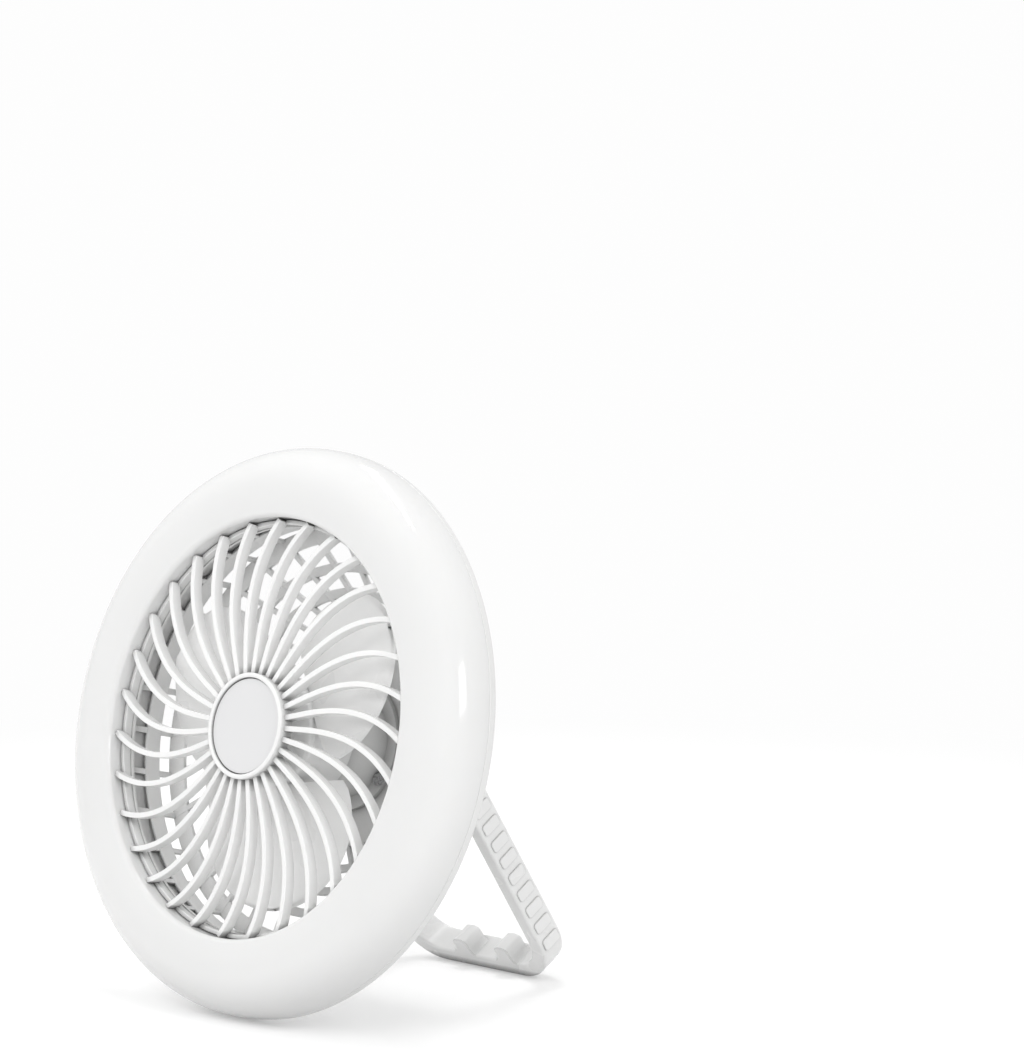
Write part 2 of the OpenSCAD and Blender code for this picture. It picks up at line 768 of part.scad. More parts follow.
module control_board() {
    color("darkgreen") at_fan() difference() {
        union() {
            depth_rod(board_r, board_depth - board_t, board_depth);
            rotate([0, 0, pod_turn]) translate([board_r - 3, -tab_w / 2, -board_depth])
                cube([socket_end - pod_round / 2 - board_r + 3, tab_w, board_t]);
        }
        for (s = [-1, 1]) translate([0, s * board_post_y, 0])
            depth_rod(screw_r + gap, board_depth - board_t - 1, board_depth + 1);
    }
}

module button_switches() {
    color("black") at_fan() for (s = [-1, 1]) translate([0, s * button_offset, -board_depth]) {
        translate([0, 0, -switch_h / 2]) cube([switch_w, switch_w, switch_h], center = true);
        translate([0, 0, -switch_h - plunger_h]) cylinder(r = plunger_r, h = plunger_h + 0.1);
    }
}

module usb_c_socket() {
    color("silver") at_fan() rotate([0, 0, pod_turn])
        translate([socket_end - socket_l, -socket_w / 2, -board_depth + board_t]) difference() {
            cube([socket_l, socket_w, socket_h]);
            translate([1, socket_wall, socket_wall])
                cube([socket_l, socket_w - 2 * socket_wall, socket_h - 2 * socket_wall]);
        }
}

module board_screws() {
    color("silver") at_fan() for (s = [-1, 1]) translate([0, s * board_post_y, 0])
        screw_forward(board_depth, board_t + 6);
}

module rear_cover() {
    color("white") at_fan() difference() {
        union() {
            rotate_extrude() polygon([[0, -drum_back], [drum_r, -drum_back], [drum_r, -cover_back + 1.2],
                [drum_r - 0.35, -cover_back + 0.35], [drum_r - 1.2, -cover_back], [0, -cover_back]]);
            depth_ring(board_r, board_r - spigot_t, drum_back - spigot_h, drum_back + 1);
        }
        for (s = [-1, 1]) translate([0, s * button_offset, 0])
            depth_rod(button_r + gap, drum_back - 1, cover_back + 1);
        at_turns(cover_post_turns, cover_post_circle_r) {
            depth_rod(screw_r + gap, drum_back - 1, cover_back + 1);
            depth_rod(screw_head_r + gap, cover_back - cover_screw_sink, cover_back + 1);
        }
        translate([pipe_x, 0, 0]) depth_rod(pipe_r + fit_gap, drum_back - 1, cover_back + 1);
    }
}

module rear_cover_screws() {
    color("silver") at_fan() at_turns(cover_post_turns, cover_post_circle_r)
        screw_forward(cover_back - cover_screw_sink, cover_t - cover_screw_sink + 7);
}

module light_pipe() {
    color("lightcyan") at_fan() translate([pipe_x, 0, 0]) depth_rod(pipe_r, board_depth + gap, cover_back);
}

module button(y) {
    color("lightgray") at_fan() translate([0, y, 0]) {
        depth_rod(button_flange_r, drum_back - gap - button_flange_t, drum_back - gap);
        depth_rod(button_r, drum_back - gap - 0.1, cover_back + button_proud);
    }
}

module fan_button() {
    button(button_offset);
}

module light_button() {
    button(-button_offset);
}

// The handle's outline, drawn inward by a given inset
module handle_outline(inset, top) {
    half = handle_w / 2;
    translate([-half + inset, -handle_l + corner_r]) square([2 * (half - inset), handle_l - corner_r + top]);
    translate([-half + corner_r, -handle_l + inset]) square([2 * (half - corner_r), corner_r - inset + 1]);
    for (s = [-1, 1]) translate([s * (half - corner_r), -handle_l + corner_r]) circle(r = corner_r - inset);
}

// A hook finger that stands on the bar, with rounded shoulders and a filleted foot
module finger() {
    foot = -handle_l + handle_t;
    half = finger_w / 2;
    translate([-half, foot - 1]) square([finger_w, finger_h - finger_round + 1]);
    translate([-half + finger_round, foot]) square([finger_w - 2 * finger_round, finger_h]);
    for (s = [-1, 1]) {
        translate([s * (half - finger_round), foot + finger_h - finger_round]) circle(r = finger_round);
        translate([s * (half + root_round / 2 - 0.1), foot + root_round / 2 - 0.1]) difference() {
            square(root_round + 0.2, center = true);
            translate([s * (root_round / 2 + 0.1), root_round / 2 + 0.1]) circle(r = root_round);
        }
    }
}

module grip_pads() {
    for (side = [-1, 1]) for (i = [0 : pad_count - 1])
        translate([side * (handle_w / 2 + (pad_h - 1) / 2), -first_pad - i * pad_pitch, 0])
            cube([pad_h + 1, pad_l, pad_w], center = true);
}

module handle() {
    color("white") at_handle() difference() {
        union() {
            translate([0, 0, -handle_d / 2]) linear_extrude(height = handle_d) difference() {
                handle_outline(0, 0);
                handle_outline(handle_t, 5);
            }
            for (s = [-1, 1]) translate([finger_offset + s * finger_pitch / 2, 0, handle_d / 2 - finger_d])
                linear_extrude(height = finger_d) finger();
            at_arm_ends(arm_in_x) cylinder(r = arm_end_r, h = handle_t);
            grip_pads();
        }
        at_arm_ends(arm_in_x - 1) cylinder(r = pin_r + run_gap, h = handle_t + 2);
        at_arm_ends(arm_in_x + head_seat - slip_gap) cylinder(r = pin_head_r + gap, h = handle_t);
        translate([arm_in_x, -pocket_l, 0]) cube([2 * pocket_deep, pocket_w, pocket_w], center = true);
    }
}

module pivot_pins() {
    color("silver") at_handle() {
        at_arm_ends(pin_in_x) cylinder(r = pin_r, h = arm_in_x + head_seat - pin_in_x + 0.1);
        at_arm_ends(arm_in_x + head_seat) cylinder(r = pin_head_r, h = pin_head_t);
    }
}

module friction_washers() {
    color("dimgray") at_handle() at_arm_ends(boss_end_x) difference() {
        cylinder(r = washer_r, h = washer_t);
        translate([0, 0, -1]) cylinder(r = pin_r + run_gap, h = washer_t + 2);
    }
}

module pivot_caps() {
    color("white") at_handle() at_arm_ends(handle_w / 2) {
        cylinder(r = cap_r, h = cap_t - 0.5);
        cylinder(r1 = cap_r, r2 = cap_r - 0.9, h = cap_t);
        translate([0, 0, -cap_plug_l]) cylinder(r = pin_head_r + gap - fit_gap, h = cap_plug_l + 0.1);
    }
}

light_ring_cover();
light_ring_housing();
led_board();
led_chips();
led_board_screws();
front_grille();
hub_badge();
rear_guard();
guard_rim_screws();
impeller();
rotor_can();
rotor_magnet();
motor_shaft();
shaft_clip();
stator_core();
stator_coils();
motor_board();
bearing_front();
bearing_rear();
motor_mount();
motor_mount_screws();
drum_shell();
guard_hub_screws();
battery_cell();
battery_tray();
battery_pad();
control_board();
button_switches();
usb_c_socket();
board_screws();
rear_cover();
rear_cover_screws();
light_pipe();
fan_button();
light_button();
handle();
pivot_pins();
friction_washers();
pivot_caps();
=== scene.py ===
import math

import bmesh
import bpy
from mathutils import Matrix, Vector
from mathutils.geometry import delaunay_2d_cdt


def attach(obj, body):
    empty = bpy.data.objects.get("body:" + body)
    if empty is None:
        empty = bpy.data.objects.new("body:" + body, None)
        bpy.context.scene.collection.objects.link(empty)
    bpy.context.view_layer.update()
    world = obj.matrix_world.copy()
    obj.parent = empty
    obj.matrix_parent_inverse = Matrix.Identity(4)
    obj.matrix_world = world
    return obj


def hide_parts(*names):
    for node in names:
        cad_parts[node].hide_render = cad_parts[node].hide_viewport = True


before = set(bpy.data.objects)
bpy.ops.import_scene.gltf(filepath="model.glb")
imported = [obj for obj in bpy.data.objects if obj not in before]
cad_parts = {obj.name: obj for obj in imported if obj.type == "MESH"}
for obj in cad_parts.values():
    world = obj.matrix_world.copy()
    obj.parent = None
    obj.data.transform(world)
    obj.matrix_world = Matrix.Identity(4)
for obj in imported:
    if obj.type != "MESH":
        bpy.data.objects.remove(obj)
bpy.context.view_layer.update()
print("frame loaded with", len(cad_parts), "nodes")

# Where the fan and its handle stand, in millimetres and degrees. Pieces are drawn along the fan's axis:
# z points forward out of the grille and z = 0 is where the opening's lip starts to round over.
place = {"lean": 13.56542, "centreY": -54.01702, "centreZ": 111.37769, "pivotDepth": 69.152, "openAngle": 47}
fanPlace = (Matrix.Translation((0, place["centreY"] / 1000, place["centreZ"] / 1000))
            @ Matrix.Rotation(math.radians(90 - place["lean"]), 4, "X"))
handlePlace = (fanPlace @ Matrix.Translation((0, 0, -place["pivotDepth"] / 1000))
               @ Matrix.Rotation(math.radians(place["openAngle"]), 4, "X"))

# Sizes that several pieces share
openR, ringR, roundDepth = 81, 110, 17


# ---- outlines and meshes, all drawn in millimetres ----
def roundCorners(points, radii, steps=4):
    # radii is one number, or a dictionary of point number to radius
    made, count = [], len(points)
    for i, p in enumerate(points):
        r = radii.get(i, 0) if isinstance(radii, dict) else radii
        p = Vector(p)
        a, b = Vector(points[i - 1]) - p, Vector(points[(i + 1) % count]) - p
        half = a.angle(b, math.pi) / 2
        if r <= 0 or half > math.radians(88):
            made.append(p)
            continue
        reach = min(r / math.tan(half), 0.49 * a.length, 0.49 * b.length)
        start, end = p + a.normalized() * reach, p + b.normalized() * reach
        middle = p + (a.normalized() + b.normalized()).normalized() * (reach / math.cos(half))
        turn = math.pi - 2 * half
        for k in range(steps + 1):
            f = k / steps
            spoke = (start - middle) * math.sin((1 - f) * turn) + (end - middle) * math.sin(f * turn)
            made.append(middle + spoke / math.sin(turn))
    return made


def smoothLoop(points, steps=5):
    # a closed curve through the points
    made, count = [], len(points)
    for i in range(count):
        a, b, c, d = (Vector(points[(i + k) % count]) for k in (-1, 0, 1, 2))
        for k in range(steps):
            t = k / steps
            made.append(0.5 * (2 * b + (c - a) * t + (2 * a - 5 * b + 4 * c - d) * t ** 2
                               + (3 * b - a - 3 * c + d) * t ** 3))
    return made


def area(loop):
    return sum(a[0] * b[1] - b[0] * a[1] for a, b in zip(loop, loop[1:] + loop[:1])) / 2


def inset(loop, distance):
    # each point of a counterclockwise loop moves inward, square to the edges beside it
    if abs(distance) < 1e-9:
        return [Vector(p) for p in loop]
    made, count = [], len(loop)
    for i in range(count):
        p = Vector(loop[i])
        a, b = (p - Vector(loop[i - 1])).normalized(), (Vector(loop[(i + 1) % count]) - p).normalized()
        na, nb = Vector((-a.y, a.x)), Vector((-b.y, b.x))
        n = na + nb
        made.append(p + n * (distance / max(0.35, 1 + na.dot(nb))))
    return made


def newMesh(name, points, faces, matrix, sharp=38):
    mesh = bpy.data.meshes.new(name)
    mesh.from_pydata([tuple(c / 1000 for c in p) for p in points], [], faces)
    body = bmesh.new()
    body.from_mesh(mesh)
    bmesh.ops.remove_doubles(body, verts=body.verts, dist=1e-7)
    bmesh.ops.recalc_face_normals(body, faces=body.faces)
    body.to_mesh(mesh)
    body.free()
    mesh.transform(matrix)
    mesh.shade_smooth()
    mesh.set_sharp_from_angle(angle=math.radians(sharp))
    return mesh


def revolve(profile, segments=192):
    # closed profile of (radius, height) turned about the axis; points on the axis become poles
    points, faces, rings = [], [], []
    angles = [k * math.tau / segments for k in range(segments)]
    for r, z in profile:
        if r < 1e-6:
            rings.append([len(points)] * segments)
            points.append((0, 0, z))
        else:
            rings.append(list(range(len(points), len(points) + segments)))
            points += [(r * math.cos(a), r * math.sin(a), z) for a in angles]
    for low, high in zip(rings, rings[1:] + rings[:1]):
        for k in range(segments):
            face = []
            for v in (low[k], low[(k + 1) % segments], high[(k + 1) % segments], high[k]):
                if v not in face:
                    face.append(v)
            if len(face) > 2:
                faces.append(face)
    return points, faces


def fillFlat(outer, holes):
    # triangles of a flat face with holes, as numbers into outer + holes
    points, edges = [], []
    for loop in [outer] + holes:
        first = len(points)
        points += [Vector((p[0], p[1])) for p in loop]
        edges += [(first + k, first + (k + 1) % len(loop)) for k in range(len(loop))]
    made, _edges, faces, source, *_rest = delaunay_2d_cdt(points, edges, [], 1, 1e-7)

    def inside(p, loop):
        hit = False
        for a, b in zip(loop, loop[1:] + loop[:1]):
            if (a[1] > p.y) != (b[1] > p.y) and p.x < (b[0] - a[0]) * (p.y - a[1]) / (b[1] - a[1]) + a[0]:
                hit = not hit
        return hit
    kept = []
    for f in faces:
        middle = sum((made[v] for v in f), Vector((0, 0))) / len(f)
        if inside(middle, outer) and not any(inside(middle, h) for h in holes):
            kept.append([source[v][0] for v in f])
    return kept


def slab(loop, low, high, edge=0.5, holes=(), holeEdge=0.25, steps=3, axes=(0, 1, 2)):
    # a flat plate between two heights with softened edges; the loops run counterclockwise
    loop = list(loop) if area(loop) > 0 else list(reversed(loop))
    levels = [(edge * (1 - math.sin(a)), edge * (1 - math.cos(a)))
              for a in (k * math.pi / 2 / steps for k in range(steps + 1))]
    points, faces, bottoms, tops = [], [], [], []
    for number, line in enumerate([loop] + [list(h) for h in holes]):
        hole, soft = number > 0, (holeEdge if number > 0 else edge)
        if hole and area(line) > 0:
            line = list(reversed(line))
        rings = []
        for side in (0, 1):
            for into, down in (levels if side == 0 else reversed(levels)):
                into, down = into * soft / max(edge, 1e-9), down * soft / max(edge, 1e-9)
                z = low + soft - down if side == 0 else high - soft + down
                ring = inset(line, soft - into)
                rings.append(list(range(len(points), len(points) + len(ring))))
                points += [(p.x, p.y, z) for p in ring]
        rings = sorted(rings, key=lambda ring: points[ring[0]][2])
        for a, b in zip(rings, rings[1:]):
            for k in range(len(a)):
                n = (k + 1) % len(a)
                faces.append([a[k], a[n], b[n], b[k]])
        bottoms.append(rings[0])
        tops.append(rings[-1])
    for chosen in (bottoms, tops):
        if not holes:
            faces.append(chosen[0])
            continue
        flat = [v for ring in chosen for v in ring]
        loops = [[points[v][:2] for v in ring] for ring in chosen]
        faces += [[flat[v] for v in f] for f in fillFlat(loops[0], loops[1:])]
    return [tuple(p[a] for a in axes) for p in points], faces


def boxLoop(x0, x1, y0, y1, paintedCornerShade=0.5, steps=4):
    return roundCorners([(x0, y0), (x1, y0), (x1, y1), (x0, y1)], paintedCornerShade, steps)


def joined(*parts):
    points, faces = [], []
    for p, f in parts:
        faces += [[v + len(points) for v in face] for face in f]
        points += list(p)
    return points, faces


def moved(part, matrix):
    return [tuple(matrix @ Vector(p)) for p in part[0]], part[1]


# One tree repeats a piece: along a row, round the fan's axis, or both
def repeatTree():
    tree = bpy.data.node_groups.new("repeatPiece", "GeometryNodeTree")
    face, nodes, links = tree.interface, tree.nodes, tree.links
    sockets = {}
    for label, kind in (("Piece", "Geometry"), ("Count", "Int"), ("Step", "Vector"), ("Turn", "Float"),
                        ("Start turn", "Float"), ("Finish", "Material")):
        sockets[label] = face.new_socket(label, in_out="INPUT", socket_type="NodeSocket" + kind).identifier
    face.new_socket("Geometry", in_out="OUTPUT", socket_type="NodeSocketGeometry")
    given, out = nodes.new("NodeGroupInput"), nodes.new("NodeGroupOutput")
    row = nodes.new("GeometryNodeMeshLine")
    links.new(given.outputs["Count"], row.inputs["Count"])
    links.new(given.outputs["Step"], row.inputs["Offset"])
    number = nodes.new("GeometryNodeInputIndex")
    turn = nodes.new("ShaderNodeMath")
    turn.operation = "MULTIPLY_ADD"
    links.new(number.outputs[0], turn.inputs[0])
    links.new(given.outputs["Turn"], turn.inputs[1])
    links.new(given.outputs["Start turn"], turn.inputs[2])
    angles = nodes.new("ShaderNodeCombineXYZ")
    links.new(turn.outputs[0], angles.inputs["Z"])
    rotation = nodes.new("FunctionNodeEulerToRotation")
    links.new(angles.outputs[0], rotation.inputs[0])
    copies = nodes.new("GeometryNodeInstanceOnPoints")
    links.new(row.outputs["Mesh"], copies.inputs["Points"])
    links.new(given.outputs["Piece"], copies.inputs["Instance"])
    links.new(rotation.outputs[0], copies.inputs["Rotation"])
    real, finish = nodes.new("GeometryNodeRealizeInstances"), nodes.new("GeometryNodeSetMaterial")
    links.new(copies.outputs[0], real.inputs[0])
    links.new(real.outputs[0], finish.inputs["Geometry"])
    links.new(given.outputs["Finish"], finish.inputs["Material"])
    links.new(finish.outputs[0], out.inputs[0])
    return tree, sockets


repeater, repeaterSockets = repeatTree()


def runTree(mesh, tree, sockets, values):
    # runs a node tree on a mesh and returns the plain mesh that it makes
    carrier = bpy.data.objects.new("carrier", mesh)
    bpy.context.scene.collection.objects.link(carrier)
    modifier = carrier.modifiers.new("tree", "NODES")
    modifier.node_group = tree
    for label, value in values.items():
        modifier[sockets[label]] = value
    carrier.update_tag()
    bpy.context.view_layer.update()
    done = carrier.evaluated_get(bpy.context.evaluated_depsgraph_get())
    result = bpy.data.meshes.new_from_object(done)
    carrier.modifiers.remove(modifier)
    bpy.data.objects.remove(carrier)
    return result


def repeated(part, count, turn=0, start=0, step=(0, 0, 0), material=None, sharp=38):
    # copies of a part, drawn in its own millimetres, as a mesh in metres
    mesh = newMesh("one", part[0], part[1], Matrix.Identity(4), sharp)
    return runTree(mesh, repeater, repeaterSockets, {
        "Count": count, "Step": tuple(s / 1000 for s in step), "Turn": math.radians(turn),
        "Start turn": math.radians(start), "Finish": material})


def evenShading(mesh):
    # wide faces keep their own direction beside narrow rounded edges
    carrier = bpy.data.objects.new("carrier", mesh)
    bpy.context.scene.collection.objects.link(carrier)
    modifier = carrier.modifiers.new("weights", "WEIGHTED_NORMAL")
    modifier.keep_sharp = True
    bpy.context.view_layer.update()
    result = bpy.data.meshes.new_from_object(carrier.evaluated_get(bpy.context.evaluated_depsgraph_get()))
    bpy.data.objects.remove(carrier)
    return result


def addPiece(name, meshes, matrix, body, node, finish):
    # one object from several meshes in metres, put in place in its mesh
    whole = bmesh.new()
    for mesh in meshes:
        whole.from_mesh(mesh)
    mesh = bpy.data.meshes.new(name)
    whole.to_mesh(mesh)
    whole.free()
    mesh.transform(matrix)
    mesh = evenShading(mesh)
    mesh.name = name
    mesh.materials.clear()
    mesh.materials.append(finish)
    piece = bpy.data.objects.new(name, mesh)
    bpy.context.scene.collection.objects.link(piece)
    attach(piece, body)
    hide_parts(node)


def local(part, sharp=38):
    return newMesh("part", part[0], part[1], Matrix.Identity(4), sharp)


# ---- finishes ----
def finishTree(name):
    made = bpy.data.materials.new(name)
    made.use_nodes = True
    nodes, links = made.node_tree.nodes, made.node_tree.links
    shader = nodes["Principled BSDF"]
    place = nodes.new("ShaderNodeTexCoord")
    return made, nodes, links, shader, place.outputs["Object"]


def noise(nodes, links, place, scale, detail=2, rough=0.5):
    made = nodes.new("ShaderNodeTexNoise")
    made.inputs["Scale"].default_value = scale
    made.inputs["Detail"].default_value = detail
    made.inputs["Roughness"].default_value = rough
    links.new(place, made.inputs["Vector"])
    return made.outputs["Fac"]


def ramp(nodes, links, value, stops):
    made = nodes.new("ShaderNodeValToRGB")
    line = made.color_ramp.elements
    while len(line) < len(stops):
        line.new(0.5)
    for stop, (at, colour) in zip(line, stops):
        stop.position = at
        stop.color = (*colour, 1)
    links.new(value, made.inputs["Fac"])
    return made.outputs["Color"]


def bump(nodes, links, shader, value, depth, strength=1.0, under=None):
    made = nodes.new("ShaderNodeBump")
    made.inputs["Strength"].default_value = strength
    made.inputs["Distance"].default_value = depth
    links.new(value, made.inputs["Height"])
    if under is not None:
        links.new(under, made.inputs["Normal"])
    if shader is not None:
        links.new(made.outputs["Normal"], shader.inputs["Normal"])
    return made.outputs["Normal"]


def roundedEdge(nodes, radius, samples):
    edge = nodes.new("ShaderNodeBevel")
    edge.samples = samples
    edge.inputs["Radius"].default_value = radius
    return edge.outputs["Normal"]


def plastic(name, colour, rough=0.28, grain=0.0, glow=0.0, shift=0.02, softEdge=0.0, paintedShadeReach=0.0):
    # moulded plastic: slow changes of tone, a slightly uneven gloss, grain where it is textured, and painted
    # shade: the base colour is darkened by ambient occlusion in corners and gaps narrower than the given
    # reach
    made, nodes, links, shader, place = finishTree(name)
    cloud = noise(nodes, links, place, 16, 3)
    low = tuple(c * (1 - shift) for c in colour)
    tone = ramp(nodes, links, cloud, [(0.35, low), (0.65, colour)])
    # painted shade: ambient occlusion darkens the base colour in occluded corners, creases and gaps
    if paintedShadeReach:
        paintedCornerShade = nodes.new("ShaderNodeAmbientOcclusion")
        paintedCornerShade.samples = 6
        paintedCornerShade.inputs["Distance"].default_value = paintedShadeReach
        links.new(tone, paintedCornerShade.inputs["Color"])
        tone = paintedCornerShade.outputs["Color"]
    links.new(tone, shader.inputs["Base Color"])
    gloss = noise(nodes, links, place, 60, 2)
    links.new(ramp(nodes, links, gloss, [(0.3, (rough * 0.85,) * 3), (0.7, (rough * 1.15,) * 3)]),
              shader.inputs["Roughness"])
    shader.inputs["IOR"].default_value = 1.49
    if glow:
        shader.inputs["Subsurface Weight"].default_value = glow
        shader.inputs["Subsurface Radius"].default_value = (0.004, 0.0038, 0.0034)
        shader.inputs["Subsurface Scale"].default_value = 1.0
    under = roundedEdge(nodes, softEdge, 6) if softEdge else None
    wave = noise(nodes, links, place, 90, 1)
    under = bump(nodes, links, None if grain else shader, wave, 0.00004, 0.35, under)
    if grain:
        bump(nodes, links, shader, noise(nodes, links, place, 2600, 2), 0.00003, grain, under)
    return made


def metal(name, colour, rough=0.3, brush=(1, 1, 1), softEdge=0.0):
    made, nodes, links, shader, place = finishTree(name)
    shader.inputs["Metallic"].default_value = 1
    stretch = nodes.new("ShaderNodeMapping")
    stretch.inputs["Scale"].default_value = brush
    links.new(place, stretch.inputs["Vector"])
    line = noise(nodes, links, stretch.outputs["Vector"], 900, 3)
    low = tuple(c * 0.86 for c in colour)
    links.new(ramp(nodes, links, line, [(0.3, low), (0.7, colour)]), shader.inputs["Base Color"])
    links.new(ramp(nodes, links, line, [(0.2, (rough * 0.7,) * 3), (0.8, (rough * 1.3,) * 3)]),
              shader.inputs["Roughness"])
    bump(nodes, links, shader, line, 0.00002, 0.4, roundedEdge(nodes, softEdge, 4) if softEdge else None)
    return made


def laminated(name, colour, pitch, rough=0.4, across="Z"):
    # thin layers or wound wire, as fine bands along one direction
    made, nodes, links, shader, place = finishTree(name)
    shader.inputs["Metallic"].default_value = 1
    shader.inputs["Roughness"].default_value = rough
    bands = nodes.new("ShaderNodeTexWave")
    bands.wave_type, bands.bands_direction = "BANDS", across
    bands.inputs["Scale"].default_value = 0.314 / pitch
    bands.inputs["Distortion"].default_value = 0.4
    bands.inputs["Detail Scale"].default_value = 4
    links.new(place, bands.inputs["Vector"])
    low, band = tuple(c * 0.5 for c in colour), bands.outputs["Fac"]
    links.new(ramp(nodes, links, band, [(0.1, low), (0.6, colour)]), shader.inputs["Base Color"])
    bump(nodes, links, shader, band, pitch * 0.4, 0.8)
    return made


def board(name, colour, trace):
    # solder mask with faint copper tracks under it
    made, nodes, links, shader, place = finishTree(name)
    cells = nodes.new("ShaderNodeTexVoronoi")
    cells.feature, cells.distance = "F1", "MANHATTAN"
    cells.inputs["Scale"].default_value = 330
    links.new(place, cells.inputs["Vector"])
    links.new(ramp(nodes, links, cells.outputs["Distance"], [(0.18, trace), (0.24, colour)]),
              shader.inputs["Base Color"])
    shader.inputs["Roughness"].default_value = 0.35
    bump(nodes, links, shader, cells.outputs["Distance"], 0.00003, 0.3)
    return made


def foam(name, colour):
    made, nodes, links, shader, place = finishTree(name)
    cells = nodes.new("ShaderNodeTexVoronoi")
    cells.inputs["Scale"].default_value = 1500
    links.new(place, cells.inputs["Vector"])
    low, cell = tuple(c * 0.4 for c in colour), cells.outputs["Distance"]
    links.new(ramp(nodes, links, cell, [(0.1, low), (0.5, colour)]), shader.inputs["Base Color"])
    shader.inputs["Roughness"].default_value = 0.95
    bump(nodes, links, shader, cell, 0.0003, 0.8)
    return made


# the blades and rear guard take a lighter white than the shell: painted light that makes up for the shade
# inside the drum
tones = {"white": (0.86, 0.86, 0.855), "cover": (0.78, 0.78, 0.775), "paintedLightWhite": (0.91, 0.91, 0.905),
         "badge": (0.73, 0.73, 0.735), "steel": (0.62, 0.62, 0.63), "dark": (0.035, 0.036, 0.04)}
# whiteShell, grilleWhite, bladeWhite, guardWhite and handleWhite paint shade into their corners by ambient
# occlusion; the last number is how far it reaches
whiteShell = plastic("whiteShell", tones["white"], 0.24, softEdge=0.0004, paintedShadeReach=0.008)
whiteSmooth = plastic("whiteSmooth", tones["cover"], 0.24)
lightCover = plastic("milkyLightCover", tones["cover"], 0.1, glow=0.12)
grilleWhite = plastic("grilleWhite", tones["white"], 0.22, paintedShadeReach=0.003)
bladeWhite = plastic("bladeWhite", tones["paintedLightWhite"], 0.3, paintedShadeReach=0.007)
guardWhite = plastic("guardWhite", tones["paintedLightWhite"], 0.32, paintedShadeReach=0.009)
handleWhite = plastic("handleWhite", tones["white"], 0.26, paintedShadeReach=0.0035)
badgeGrey = plastic("badgeGrey", tones["badge"], 0.35, grain=0.15)
buttonGrey = plastic("buttonGrey", (0.7, 0.7, 0.7), 0.3, softEdge=0.0005)
blackPlastic = plastic("blackPlastic", tones["dark"], 0.4, softEdge=0.0002)
screwSteel = metal("screwSteel", tones["steel"], 0.28, softEdge=0.0002)
bearingSteel = metal("bearingSteel", (0.7, 0.7, 0.71), 0.16, (1, 1, 8), softEdge=0.0001)
canSteel = metal("rotorCanSteel", (0.55, 0.56, 0.58), 0.34, (1, 1, 12), softEdge=0.0003)
magnetGrey = metal("magnetGrey", (0.14, 0.14, 0.15), 0.5)
coreSteel = laminated("statorLaminations", (0.45, 0.45, 0.47), 0.0005)
coilCopper = laminated("coilCopper", (0.72, 0.29, 0.12), 0.0004, 0.3, "X")
greenBoard = board("greenBoard", (0.02, 0.13, 0.06), (0.05, 0.22, 0.11))
whiteBoard = board("whiteLampBoard", (0.8, 0.8, 0.78), (0.7, 0.7, 0.67))
lampYellow = plastic("lampPhosphor", (0.85, 0.62, 0.12), 0.35, softEdge=0.0002)
batteryWrap = plastic("batteryWrap", (0.3, 0.34, 0.4), 0.35, softEdge=0.0008)
padFoam = foam("batteryPadFoam", (0.09, 0.09, 0.095))
washerGrey = plastic("washerGrey", (0.2, 0.2, 0.21), 0.6, grain=0.3)
pipeClear = plastic("lightPipeClear", (0.8, 0.88, 0.88), 0.08, glow=0.3)
print("finishes made")

cadFinishes = {
    whiteShell: ["light_ring_housing", "drum_shell", "rear_cover", "motor_mount", "battery_tray"],
    lightCover: ["light_ring_cover"], grilleWhite: ["front_grille"], guardWhite: ["rear_guard"],
    bladeWhite: ["impeller"], handleWhite: ["handle", "pivot_caps"], badgeGrey: ["hub_badge"],
    buttonGrey: ["fan_button", "light_button"], blackPlastic: ["button_switches"],
    screwSteel: ["led_board_screws", "guard_rim_screws", "motor_mount_screws", "guard_hub_screws",
                 "board_screws", "rear_cover_screws", "pivot_pins", "shaft_clip", "usb_c_socket"],
    bearingSteel: ["bearing_front", "bearing_rear", "motor_shaft"], canSteel: ["rotor_can"],
    magnetGrey: ["rotor_magnet"], coreSteel: ["stator_core"], coilCopper: ["stator_coils"],
    greenBoard: ["control_board", "motor_board"], whiteBoard: ["led_board"], lampYellow: ["led_chips"],
    batteryWrap: ["battery_cell"], padFoam: ["battery_pad"], washerGrey: ["friction_washers"],
    pipeClear: ["light_pipe"]}
for finish, names in cadFinishes.items():
    for name in names:
        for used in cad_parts[name].material_slots:
            used.material = finish


# ---- ring light ----
ring = {"crestR": 90.5, "crestH": 2.8, "power": 2.4, "lipDepth": 7, "lipR": 2.2, "lipHigh": 2.2, "wall": 1.8,
        "footR": 109.7, "footDepth": 20.2, "back": 23.4, "chamfer": 3.2, "ductR": 83.3, "housingWall": 2,
        "flangeBack": 9.6, "boreR": 1.13, "postFoot": 22.4, "lampPostAt": 99, "lampPostR": 2.6,
        "lampPostTop": 13.6, "rimPostAt": 88.5, "rimPostR": 3, "rimPostTop": 15.4, "ribWide": 1.6,
        "ribTop": 13.9}


